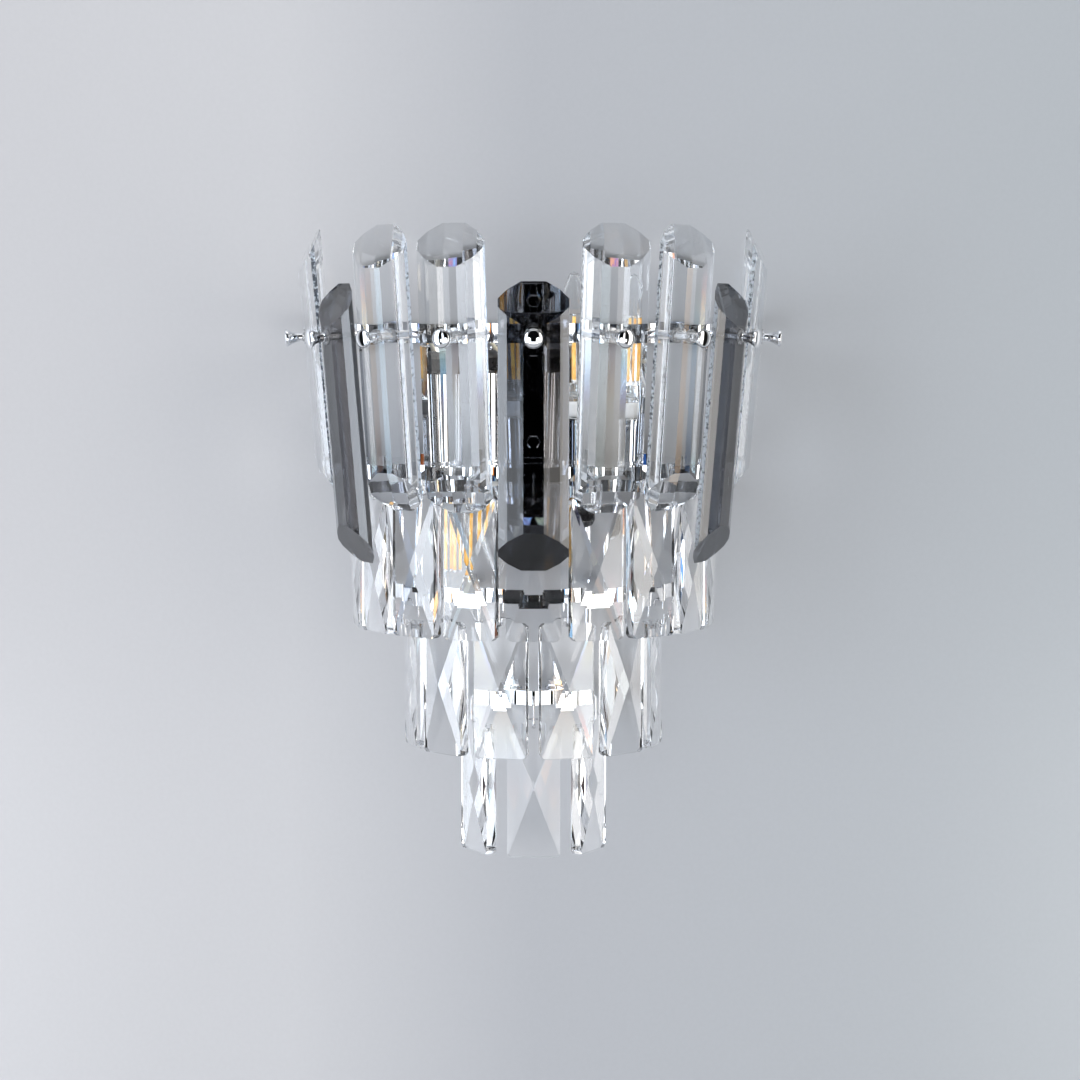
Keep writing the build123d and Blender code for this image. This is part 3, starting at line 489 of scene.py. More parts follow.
def handled_material(look: "MetalFinish | PlasticFinish", own: dict[str, float]) -> bpy.types.Material:
    """Builds the material of a surface with handling marks.

    Args:
        look: The finish.
        own: What its shader has besides colour, roughness and relief.

    Returns:
        The material.
    """
    graph, _, at = material(look.name)
    wear = graph.node("ShaderNodeGroup", None, node_tree=HANDLED)
    graph.tree.links.new(at, wear.inputs["Position"])
    values = {"Grain": look.grain, "Smooth": look.smooth, "Rough": look.rough}
    values |= {"Tint": (*look.tint, 1.0), "Worn Tint": (*look.worn, 1.0)}
    for key, value in values.items():
        wear.inputs[key].default_value = value
    relief = {"Height": wear.outputs["Height"], "Strength": look.bump, "Distance": 0.0002}
    bump = graph.node("ShaderNodeBump", relief)
    given = {"Base Color": wear.outputs["Color"], "Roughness": wear.outputs["Roughness"]}
    shader = graph.node("ShaderNodeBsdfPrincipled", {**given, "Normal": bump.outputs[0], **own})
    graph.node("ShaderNodeOutputMaterial", {"Surface": shader.outputs[0]})
    return bpy.data.materials[look.name]


@dataclass(frozen=True)
class MetalFinish:
    """Plated or bare metal with fine handling marks."""

    name: str
    tint: tuple[float, float, float]
    worn: tuple[float, float, float]
    smooth: float
    rough: float
    grain: float = 420.0
    bump: float = 0.02

    def build(self) -> bpy.types.Material:
        """Builds the material."""
        return handled_material(self, {"Metallic": 1.0})


@dataclass(frozen=True)
class PlasticFinish:
    """Moulded plastic or insulation with a faint grain and a soft gloss."""

    name: str
    tint: tuple[float, float, float]
    worn: tuple[float, float, float]
    smooth: float = 0.3
    rough: float = 0.45
    grain: float = 700.0
    bump: float = 0.12
    clear: float = 0.0

    def build(self) -> bpy.types.Material:
        """Builds the material."""
        return handled_material(self, {"Transmission Weight": self.clear})


@dataclass(frozen=True)
class GlassFinish:
    """Polished glass: clear faces, faint waves from the press, and for bars the rough saw-cut long edges."""

    name: str
    tint: tuple[float, float, float]
    deep_tint: tuple[float, float, float]
    index: float
    ground_edges: bool = False
    let_through: tuple[float, float, float] = (0.997, 0.998, 0.999)
    wave: float = 0.03
    # Painted light: the facet shades, evened towards grey on the side bars, and the shades of the slanted ends
    # make a bar's facets lighter or darker, in place of the reflections and the dark paths inside the glass
    # that they show.
    facets: tuple[tuple[float, float, float], ...] = ()
    evened: float = 0.0
    painted_end_shade: tuple[float, float, float] = (0.86, 0.87, 0.88)
    painted_middle_end_shade: tuple[float, float, float] = (0.86, 0.87, 0.88)

    def paint_facet_light(
        self, graph: Graph, colour: bpy.types.NodeSocket, edge: bpy.types.Node
    ) -> bpy.types.NodeSocket:
        """Paints each facet and the slanted ends of a bar lighter or darker: painted highlights and painted
        shade, standing in for the reflections and the dark paths inside the glass that they show.

        Args:
            graph: The material's graph.
            colour: The colour of the glass.
            edge: The group that tells the faces apart.

        Returns:
            The shaded colour.
        """
        place = graph.step(edge.outputs["Across"], -0.7, 0.7)
        facets = graph.ramp(place, tuple(zip(FACET_STARTS, self.facets)), sharp=True)
        aside = edge.outputs["Aside"]
        end = graph.mix(aside, (*self.painted_middle_end_shade, 1.0), (*self.painted_end_shade, 1.0))
        sides = graph.mix(graph.math("MULTIPLY", aside, self.evened), facets, (0.72, 0.72, 0.72, 1.0))
        shade = graph.mix(graph.step(edge.outputs["Slant"], 0.4, 0.5), sides, end)
        return graph.vector("MULTIPLY", colour, shade).outputs[0]

    def build(self) -> bpy.types.Material:
        """Builds the material."""
        graph, coordinates, at = material(self.name)
        depth = graph.step(graph.noise(at, 25.0), 0.35, 0.65)
        colour = graph.mix(depth, (*self.tint, 1.0), (*self.deep_tint, 1.0))
        rough = graph.step(graph.noise(at, 60.0, 4.0), 0.5, 0.8, 0.0, 0.012)
        height = graph.noise(at, 90.0, 1.0)
        shader_inputs: dict = {"IOR": self.index, "Transmission Weight": 1.0}
        bump_height = graph.math("MULTIPLY", height, self.wave)
        if self.ground_edges:
            edge = graph.node("ShaderNodeGroup", None, node_tree=GROUND_EDGE)
            graph.tree.links.new(at, edge.inputs["Position"])
            graph.tree.links.new(coordinates.outputs["Normal"], edge.inputs["Facing"])
            mask = edge.outputs["Mask"]
            rough = graph.math("MAXIMUM", rough, graph.math("MULTIPLY", mask, 0.42))
            bump_height = graph.math("ADD", bump_height, edge.outputs["Height"])
            if self.facets:
                colour = self.paint_facet_light(graph, colour, edge)
            # Painted shade and painted reflection: the ground edges are painted near black, with pale specks of
            # grain whose share grows where an edge faces bright studio light.
            shade = graph.mix(edge.outputs["Speckle"], (0.004, 0.006, 0.01, 1.0), (0.62, 0.7, 0.8, 1.0))
            colour = graph.mix(mask, colour, shade)
            shader_inputs["Specular IOR Level"] = graph.step(mask, 0.0, 1.0, 0.5, 0.0)
        bump = graph.node("ShaderNodeBump", {"Height": bump_height, "Strength": 0.25, "Distance": 0.0004})
        shader_inputs |= {"Base Color": colour, "Roughness": rough, "Normal": bump.outputs[0]}
        shader = graph.node("ShaderNodeBsdfPrincipled", shader_inputs)
        shadowless(graph, shader.outputs[0], self.let_through)
        return bpy.data.materials[self.name]


@dataclass(frozen=True)
class FilamentFinish:
    """Amber phosphor over a glass rod: grainy, with a little painted light of its own, though the lamps are
    off.
    """

    name: str
    tint: tuple[float, float, float]
    pale: tuple[float, float, float]
    painted_glow: float

    def build(self) -> bpy.types.Material:
        """Builds the material."""
        graph, _, at = material(self.name)
        dots = graph.noise(at, 1800.0, 2.0)
        bands = graph.noise(at, 160.0, 2.0)
        colour = graph.mix(graph.step(bands, 0.4, 0.65), (*self.tint, 1.0), (*self.pale, 1.0))
        bump = graph.node("ShaderNodeBump", {"Height": dots, "Strength": 0.4, "Distance": 0.0002})
        # Painted light: the phosphor gives off a little light although the lamps are off.
        shader = graph.node(
            "ShaderNodeBsdfPrincipled",
            {
                "Base Color": colour,
                "Roughness": graph.step(dots, 0.3, 0.7, 0.35, 0.6),
                "Normal": bump.outputs[0],
                "Emission Color": colour,
                "Emission Strength": self.painted_glow,
            },
        )
        graph.node("ShaderNodeOutputMaterial", {"Surface": shader.outputs[0]})
        return bpy.data.materials[self.name]


FINISHES = {
    "chrome": MetalFinish("mirror_chrome", (0.86, 0.87, 0.89), (0.82, 0.83, 0.86), 0.015, 0.05),
    "wire": MetalFinish("bright_wire", (0.85, 0.86, 0.88), (0.74, 0.75, 0.78), 0.08, 0.18, bump=0.06),
    "zinc": MetalFinish("zinc_plate", (0.62, 0.64, 0.68), (0.48, 0.5, 0.55), 0.24, 0.42, bump=0.2),
    "nickel": MetalFinish("nickel_shell", (0.74, 0.72, 0.68), (0.6, 0.57, 0.52), 0.12, 0.28, bump=0.1),
    # The bars' facet and end shades are painted highlights and painted shade; a value above 1 brightens a
    # facet.
    "clear": GlassFinish(
        "clear_bar_glass", (0.985, 0.99, 0.995), (0.975, 0.985, 0.99), 1.53, ground_edges=True,
        facets=((0.98, 0.99, 1.0), (0.84, 0.855, 0.87), (1.0, 1.0, 1.0), (0.9, 0.905, 0.91), (1.0, 1.0, 1.0)),
    ),
    "smoked": GlassFinish(
        "smoked_bar_glass", (0.15, 0.153, 0.165), (0.13, 0.133, 0.145), 1.55, ground_edges=True,
        let_through=(0.75, 0.755, 0.765),
        facets=((0.7, 0.72, 0.75), (1.3, 1.5, 1.75), (0.72,) * 3, (1.6, 1.42, 1.25), (1.0, 1.05, 1.15)),
        evened=0.65, painted_end_shade=(0.36, 0.36, 0.37), painted_middle_end_shade=(0.04, 0.04, 0.045),
    ),
    "crystal": GlassFinish("cut_crystal", (0.99, 0.992, 0.995), (0.98, 0.985, 0.99), 1.6),
    "bulb": GlassFinish("blown_glass", (0.98, 0.985, 0.985), (0.96, 0.965, 0.965), 1.47, wave=0.3),
    "stem": GlassFinish("pinched_glass", (0.93, 0.95, 0.95), (0.86, 0.89, 0.9), 1.5, wave=1.0),
    "filament": FilamentFinish("amber_phosphor", (0.9, 0.46, 0.08), (1.0, 0.66, 0.2), 0.35),
    "white": PlasticFinish("white_moulding", (0.86, 0.87, 0.88), (0.8, 0.81, 0.82)),
    "black": PlasticFinish("black_moulding", (0.02, 0.02, 0.022), (0.04, 0.04, 0.042), 0.25, 0.4),
    "nylon": PlasticFinish("clear_washer", (0.9, 0.91, 0.92), (0.84, 0.85, 0.86), 0.12, 0.22, clear=0.8),
    "cream": PlasticFinish("cream_insulation", (0.82, 0.7, 0.48), (0.74, 0.61, 0.4), 0.38, 0.55),
}
_BUILT: dict[str, bpy.types.Material] = {}


def finish(name: str) -> bpy.types.Material:
    """The material of a finish, built once."""
    if name not in _BUILT:
        _BUILT[name] = FINISHES[name].build()
    return _BUILT[name]


def dress(node: str, name: str) -> None:
    """Gives a CAD node a finish."""
    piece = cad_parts[node]
    for place in piece.material_slots:
        place.material = finish(name)
    LOG.info("%s: CAD shape in %s", node, name)


# ------------------------------------------------------------------ places shared by the sub-assemblies
def out_of_band(angle: float) -> Array:
    """The level direction out of a band at this angle from straight ahead."""
    return np.array([sin(angle), -cos(angle), 0.0])


def along_band(angle: float) -> Array:
    """The direction along a band at this angle."""
    return np.array([cos(angle), sin(angle), 0.0])


UP = np.array([0.0, 0.0, 1.0])


@dataclass
class Frame:
    """Bands, tray, wall strap, covers and their fasteners, which keep their CAD shapes."""

    chromed: tuple[str, ...] = (
        "mounting_strap",
        "back_cover",
        "lower_cover",
        "cover_nuts",
        "top_band",
        "tray_band",
        "middle_band",
        "lower_band",
        "lamp_tray",
        "drop_rods",
        "rod_nuts",
        "sleeve_nuts",
        "standoff_spacers",
    )
    zinc: tuple[str, ...] = ("frame_screws", "standoff_screws")

    def build(self) -> None:
        """Dresses the pressed and cut metal."""
        for node in self.chromed:
            dress(node, "chrome")
        for node in self.zinc:
            dress(node, "zinc")
        dress("glass_washers", "nylon")
        dress("terminal_block", "white")


@dataclass
class Glass:
    """The glass bars and the hanging crystals, whose facets are the CAD ones."""

    bar_count: int = 9
    smoked: tuple[int, ...] = (2, 5, 8)
    tiers: dict[str, int] = field(default_factory=lambda: {"tray": 9, "middle": 6, "lower": 3})

    def build(self) -> None:
        """Dresses every bar and crystal."""
        for number in range(1, self.bar_count + 1):
            dark = number in self.smoked
            dress(f"{'smoked' if dark else 'clear'}_bar_{number}", "smoked" if dark else "clear")
        for tier, count in self.tiers.items():
            for number in range(1, count + 1):
                dress(f"{tier}_crystal_{number}", "crystal")


@dataclass
class StandoffKnobs:
    """The flared knobs that clamp the bars: a neck, a trumpet flare, a thin rim and a domed face."""

    band_radius: float = 104.0 * MM
    band_height: float = 36.0 * MM
    droop: float = radians(5.0)
    angles: tuple[int, ...] = (-80, -60, -40, -20, 0, 20, 40, 60, 80)
    reach: float = 23.3 * MM
    length: float = 11.0 * MM
    neck: float = 2.4 * MM
    face: float = 5.0 * MM
    dome: float = 1.1 * MM

    def profile(self) -> Array:
        """The knob's outline, from its seat up to the middle of its face."""
        rim_low = self.length - self.dome - 1.0 * MM
        foot = [(0.0, 0.0), (self.neck * 0.96, 0.0), (self.neck, 0.15 * MM), (self.neck, 1.5 * MM)]
        groove = [(self.neck * 0.88, 1.75 * MM), (self.neck * 0.88, 2.05 * MM), (self.neck, 2.3 * MM)]
        rise = np.linspace(0, 1, 16)[1:]
        flare_r = self.neck + (self.face * 0.97 - self.neck) * rise**1.9
        flare = np.stack([flare_r, 2.3 * MM + (rim_low - 2.3 * MM) * rise], axis=1)
        rim = [(self.face, rim_low + 0.15 * MM), (self.face, rim_low + 0.8 * MM)]
        rim.append((self.face * 0.96, rim_low + 1.0 * MM))
        turn = np.linspace(0, pi / 2, 12)
        crown = self.length - self.dome * (1 - np.sin(turn))
        dome = np.stack([self.face * 0.9 * np.cos(turn), crown], axis=1)
        return np.concatenate([foot, groove, flare, rim, dome])

    def build(self) -> None:
        """Makes the nine knobs as one piece."""
        knobs = []
        for degrees in self.angles:
            angle = radians(degrees)
            outward = out_of_band(angle) * cos(self.droop) - UP * sin(self.droop)
            across = along_band(angle)
            base = self.band_radius * out_of_band(angle) + self.band_height * UP
            seat = Seat(base + outward * self.reach, across, np.cross(outward, across), outward)
            knobs.append(turned(self.profile(), seat))
        as_piece("flared_knobs", joined(knobs), finish("chrome"), stands_for=("standoff_knobs",))


@dataclass
class CrystalHooks:
    """The bent wires that carry the crystals, one set to a tier."""

    tiers: tuple = (
        ("tray", 97.0, -37.3, (-80, -60, -40, -20, 0, 20, 40, 60, 80)),
        ("middle", 68.0, -104.0, (-75, -45, -15, 15, 45, 75)),
        ("lower", 36.0, -163.0, (-60, 0, 60)),
    )
    wall: float = 0.8 * MM
    wire: float = 0.5 * MM
    half_span: float = 4.5 * MM
    back_leg: float = 9.5 * MM
    drop: float = 15.0 * MM
    end_rise: float = 2.8 * MM
    bend: float = 2.4 * MM

    def build(self) -> None:
        """Makes the hooks of each tier as one piece."""
        span, drop = self.half_span, self.drop
        corners = [
            (-span, -self.back_leg),
            (-span, 0.0),
            (span, 0.0),
            (span, -drop),
            (-span, -drop),
            (-span, self.end_rise - drop),
        ]
        line = eased(corners, self.bend, 8)
        for tier, radius, height, angles in self.tiers:
            wires = []
            for degrees in angles:
                angle = radians(degrees)
                outward = out_of_band(angle)
                base = (radius * MM - self.wall) * outward + height * MM * UP
                path = base + line[:, :1] * outward + line[:, 1:] * UP
                wires.append(tube(path, along_band(angle), self.wire))
            name = f"{tier}_wire_hooks"
            as_piece(name, joined(wires), finish("wire"), stands_for=(f"{tier}_hooks",))


@dataclass
class CandleLamp:
    """One candle lamp: its sleeve and holder on the tray, and the bulb that comes out of them."""

    name: str
    x: float
    mouth: float
    way: Way
    y: float = -34.0 * MM
    tray_top: float = -33.55 * MM
    sleeve_radius: float = 13.0 * MM
    sleeve_wall: float = 0.8 * MM
    sleeve_length: float = 52.0 * MM
    flange_radius: float = 15.5 * MM
    flange_height: float = 1.2 * MM
    cap_length: float = 21.4 * MM
    cap_radius: float = 6.95 * MM
    collar_length: float = 8.6 * MM
    collar_low: float = 8.25 * MM
    collar_top: float = 10.5 * MM
    bulb_length: float = 100.0 * MM
    bulb_radius: float = 17.5 * MM
    bulb_wall: float = 0.9 * MM
    seat_gap: float = 0.3 * MM
    filament_length: float = 36.6 * MM
    filament_top: float = 77.0 * MM
    filament_radius: float = 0.9 * MM
    filament_circle: float = 4.5 * MM

    def seat(self, height: float) -> Seat:
        """A seat on the lamp's axis at this height, along the way that the lamp points."""
        beside = np.array([0.0, float(self.way.value), 0.0])
        origin = np.array([self.x, self.y, height])
        return Seat(origin, np.array([1.0, 0.0, 0.0]), beside, UP * self.way.value)

    def bulb_seat(self) -> Seat:
        """The seat at the end of the bulb's cap."""
        return self.seat(self.mouth - self.way.value * (self.cap_length - self.seat_gap))

    def sleeve(self) -> Surface:
        """The sleeve: a thin tube with a rolled mouth and a flange on the tray."""
        outer, inner = self.sleeve_radius, self.sleeve_radius - self.sleeve_wall
        foot = -self.sleeve_length
        flange = (self.tray_top - self.mouth) * self.way.value
        top_of_flange = flange + self.way.value * self.flange_height
        low, high = min(flange, top_of_flange), max(flange, top_of_flange)
        lip = self.sleeve_wall / 2
        profile = [
            (inner, foot),
            (outer, foot),
            (outer, low),
            (self.flange_radius, low),
            (self.flange_radius, low + 0.3 * self.flange_height),
            (self.flange_radius - 0.4 * MM, high),
            (outer, high),
            (outer, -3.4 * MM),
            (outer - 0.35 * MM, -3.1 * MM),
            (outer - 0.35 * MM, -2.6 * MM),
            (outer, -2.3 * MM),
            (outer, -lip),
            (outer - lip * 0.3, -lip * 0.3),
            (outer - lip, 0.0),
            (inner + lip * 0.3, -lip * 0.3),
            (inner, -lip),
            (inner, foot),
        ]
        return turned(np.array(profile), self.seat(self.mouth), 72)

    def cap(self) -> Surface:
        """The screw cap. Its radius is r - d (1 - cos(2 pi (h / pitch - t / 2 pi))) / 2 along its thread."""
        pitch, depth, steps, rows = 2.2 * MM, 0.75 * MM, 64, 96
        low, high = 4.0 * MM, self.cap_length - 2.0 * MM
        height = np.linspace(low, high, rows)
        angle = np.arange(steps) * tau / steps
        phase = height[:, None] / pitch - angle[None, :] / tau
        ease = np.clip(np.minimum(height - low, high - height) / (2 * MM), 0, 1)
        radius = self.cap_radius - depth * 0.5 * (1 - np.cos(tau * phase)) * ease[:, None]
        seat = self.bulb_seat()
        ring = np.cos(angle)[:, None] * seat.across + np.sin(angle)[:, None] * seat.beside
        points = seat.origin + radius[..., None] * ring + height[:, None, None] * seat.along
        thread = grid_surface(points, loop_columns=True)
        foot = [(0.0, 0.0), (1.6 * MM, 0.0), (2.5 * MM, 0.5 * MM), (2.5 * MM, 1.5 * MM), (self.cap_radius, low)]
        top = [(self.cap_radius, high), (self.cap_radius, self.cap_length), (0.0, self.cap_length)]
        return joined([turned(np.array(foot), seat, steps), thread, turned(np.array(top), seat, steps)])

    def collar(self) -> Surface:
        """The white collar between the cap and the glass, a cone with softened rims."""
        low, high = self.cap_length, self.cap_length + self.collar_length
        side = [(self.collar_low, low), (self.collar_top, high - 1.4 * MM), (self.collar_top, high)]
        corners = [(0.0, low), *side, (0.0, high)]
        return turned(eased(corners, 0.5 * MM, 4), self.bulb_seat(), 64)

    def glass(self) -> Surface:
        """The blown bulb, an outer skin and an inner skin one wall inside it, joined at the neck."""
        neck, end, belly = self.collar_top, self.cap_length + self.collar_length, self.bulb_radius
        tip = self.bulb_length
        knots = [
            (neck - 0.2 * MM, end),
            (neck + 3.6 * MM, end + 8.0 * MM),
            (belly - 0.6 * MM, end + 16.0 * MM),
            (belly - 0.05 * MM, end + 23.0 * MM),
            (belly - 1.6 * MM, end + 33.0 * MM),
            (belly * 0.62, end + 49.5 * MM),
            (5.6 * MM, end + 61.5 * MM),
            (3.4 * MM, tip - 3.6 * MM),
            (2.3 * MM, tip - 1.3 * MM),
            (0.0, tip - 0.1 * MM),
        ]
        outer = flowing(knots, 9)
        outer[:, 0] = np.clip(outer[:, 0], 0.0, belly)
        inner = outer[::-1] - np.array([self.bulb_wall, 0.0])
        inner[:, 0] = np.clip(inner[:, 0], 0.0, None)
        inner[:, 1] = np.minimum(inner[:, 1], tip - 2 * self.bulb_wall)
        keep = np.concatenate([outer, inner, outer[:1]])
        return turned(keep, self.bulb_seat(), 72)

    def stem(self) -> Surface:
        """The glass stem inside the bulb: a flare at the neck, a tube and a pinched head."""
        low, head = self.cap_length + self.collar_length, self.filament_top - self.filament_length
        knots = [
            (8.2 * MM, low + 0.1 * MM),
            (4.6 * MM, low + 2.2 * MM),
            (2.7 * MM, low + 4.6 * MM),
            (2.2 * MM, head - 3.4 * MM),
            (2.6 * MM, head - 1.8 * MM),
            (0.9 * MM, head - 0.7 * MM),
        ]
        body = flowing(knots, 6)
        closed = np.concatenate([[(0.0, low + 0.1 * MM)], body, [(0.0, head - 0.6 * MM)]])
        return turned(closed, self.bulb_seat(), 40)

    def filament_rods(self) -> Surface:
        """Four phosphor rods on a circle, each with rounded ends."""
        low = self.filament_top - self.filament_length
        rods = []
        wide, long = self.filament_radius, self.filament_length
        corners = [(0.0, 0.0), (wide, 0.0), (wide, long), (0.0, long)]
        outline = eased(corners, 0.5 * MM, 4)
        for quarter in range(4):
            rods.append(turned(outline, self.beside_axis(quarter, low), 16))
        return joined(rods)

    def beside_axis(self, quarter: int, height: float) -> Seat:
        """The seat of one filament at this height above the cap's end."""
        seat = self.bulb_seat()
        turn = quarter * pi / 2
        shift = cos(turn) * seat.across + sin(turn) * seat.beside
        origin = seat.origin + shift * self.filament_circle + seat.along * height
        return Seat(origin, seat.across, seat.beside, seat.along)

    def wires(self) -> Surface:
        """Bright clips on the filaments' ends and the wires that join them to the stem."""
        low, high = self.filament_top - self.filament_length, self.filament_top
        seat = self.bulb_seat()
        parts = []
        for quarter in range(4):
            turn = quarter * pi / 2
            shift = cos(turn) * seat.across + sin(turn) * seat.beside
            side = -sin(turn) * seat.across + cos(turn) * seat.beside
            rim = self.filament_circle / MM
            bottom, top = low / MM, high / MM
            foot = [(0.9, bottom - 1.2), (rim * 0.75, bottom - 1.6), (rim, bottom - 0.6), (rim, bottom + 1.6)]
            head = [(0.0, top - 0.6), (rim * 0.8, top + 0.2), (rim, top - 0.3), (rim, top - 2.0)]
            for corners in (foot, head):
                line = eased(corners, 1.0, 5) * MM
                path = seat.origin + line[:, :1] * shift + line[:, 1:] * seat.along
                parts.append(tube(path, side, 0.28 * MM, 8))
            for height in (low, high - 1.4 * MM):
                clip = [(0.0, 0.0), (1.05 * MM, 0.0), (1.05 * MM, 1.4 * MM), (0.0, 1.4 * MM)]
                parts.append(turned(eased(clip, 0.2 * MM, 3), self.beside_axis(quarter, height), 16))
        return joined(parts)

    def build(self) -> None:
        """Makes the bulb's pieces, which move with it."""
        body = f"{self.name}_bulb"
        as_piece(f"{body}_thread", self.cap(), finish("nickel"), body, (f"{body}_cap",))
        as_piece(f"{body}_neck", self.collar(), finish("white"), body, (f"{body}_collar",))
        as_piece(f"{body}_envelope", self.glass(), finish("bulb"), body, (f"{body}_glass",))
        stand = (f"{body}_filaments",)
        as_piece(f"{body}_phosphor", self.filament_rods(), finish("filament"), body, stand)
        as_piece(f"{body}_stem", self.stem(), finish("stem"), body)
        as_piece(f"{body}_clips", self.wires(), finish("wire"), body)


@dataclass(frozen=True)
class Lead:
    """One insulated lead from the terminal block to a lampholder, by its control points in mm."""

    node: str
    route: tuple[tuple[float, float, float], ...]
    length: float
    diameter: float = 2.4 * MM

    def build(self) -> None:
        """Makes the lead as a smooth quadratic NURBS curve with a round section and closed ends."""
        curve = bpy.data.curves.new(f"{self.node}_line", "CURVE")
        curve.dimensions = "3D"
        curve.bevel_depth = self.diameter / 2
        curve.bevel_resolution = 5
        curve.use_fill_caps = True
        curve.resolution_u = 12
        spline = curve.splines.new("NURBS")
        spline.points.add(len(self.route) - 1)
        points = np.array(self.route) * MM
        spline.points.foreach_set("co", np.column_stack([points, np.ones(len(points))]).ravel())
        spline.order_u = 3
        spline.use_endpoint_u = True
        curve.materials.append(finish("cream"))
        piece = bpy.data.objects.new(f"{self.node}_wire", curve)
        bpy.context.scene.collection.objects.link(piece)
        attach(piece, "root")
        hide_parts(self.node)


LEADS = (
    Lead(
        "inverted_lamp_lead",
        (
            (-4.0, -5.8, 13.0),
            (-4.0, -5.8, 20.725),
            (-16.0, -5.8, 20.725),
            (-16.0, -24.0, 20.725),
            (-28.5, -34.0, 38.95),
            (-28.5, -34.0, 26.95),
        ),
        56.0 * MM,
    ),
    Lead(
        "upper_lamp_lead",
        (
            (4.0, -5.8, 3.0),
            (4.0, -5.8, -7.0),
            (6.0, -5.8, -17.0),
            (6.0, -5.8, -70.05),
            (6.0, -17.0, -70.05),
            (22.0, -34.0, -86.25),
            (22.0, -34.0, -74.25),
        ),
        112.0 * MM,
    ),
)


@dataclass
class LampSockets:
    """The two chromed sleeves and the black lampholders inside them."""

    lamps: tuple[CandleLamp, ...]
    body_radius: float = 12.0 * MM
    tail_radius: float = 10.5 * MM
    tail_length: float = 12.5 * MM
    recess: float = 0.5 * MM
    socket_radius: float = 7.4 * MM
    socket_depth: float = 24.0 * MM

    def holder(self, lamp: CandleLamp) -> Surface:
        """One holder: a bore with a rounded mouth, a plain body and a ribbed tail with a soft end."""
        foot = -lamp.sleeve_length
        end = foot - self.tail_length
        ribs = np.linspace(foot - 1.5 * MM, end + 4.2 * MM, 25)
        rib_radius = self.tail_radius - 0.35 * MM * (0.5 - 0.5 * np.cos(np.arange(25) * pi))
        profile = [
            *[(0.0, -self.recess - self.socket_depth), (self.socket_radius, -self.recess - self.socket_depth)],
            *[(self.socket_radius, -self.recess - 0.8 * MM), (self.socket_radius + 0.8 * MM, -self.recess)],
            *[(self.body_radius - 0.4 * MM, -self.recess), (self.body_radius, -self.recess - 0.4 * MM)],
            *[(self.body_radius, foot), (self.tail_radius, foot)],
            *zip(rib_radius, ribs),
            *[(self.tail_radius, end + 3.6 * MM), (self.tail_radius - 1.2 * MM, end + 1.2 * MM)],
            *[(self.tail_radius - 3.1 * MM, end), (0.0, end)],
        ]
        return turned(np.array(profile), lamp.seat(lamp.mouth), 72)

    def build(self) -> None:
        """Makes the sleeves and the holders."""
        sleeves = joined([lamp.sleeve() for lamp in self.lamps])
        as_piece("candle_tubes", sleeves, finish("chrome"), stands_for=("candle_sleeves",))
        holders = joined([self.holder(lamp) for lamp in self.lamps])
        as_piece("socket_bodies", holders, finish("black"), stands_for=("lampholders",))


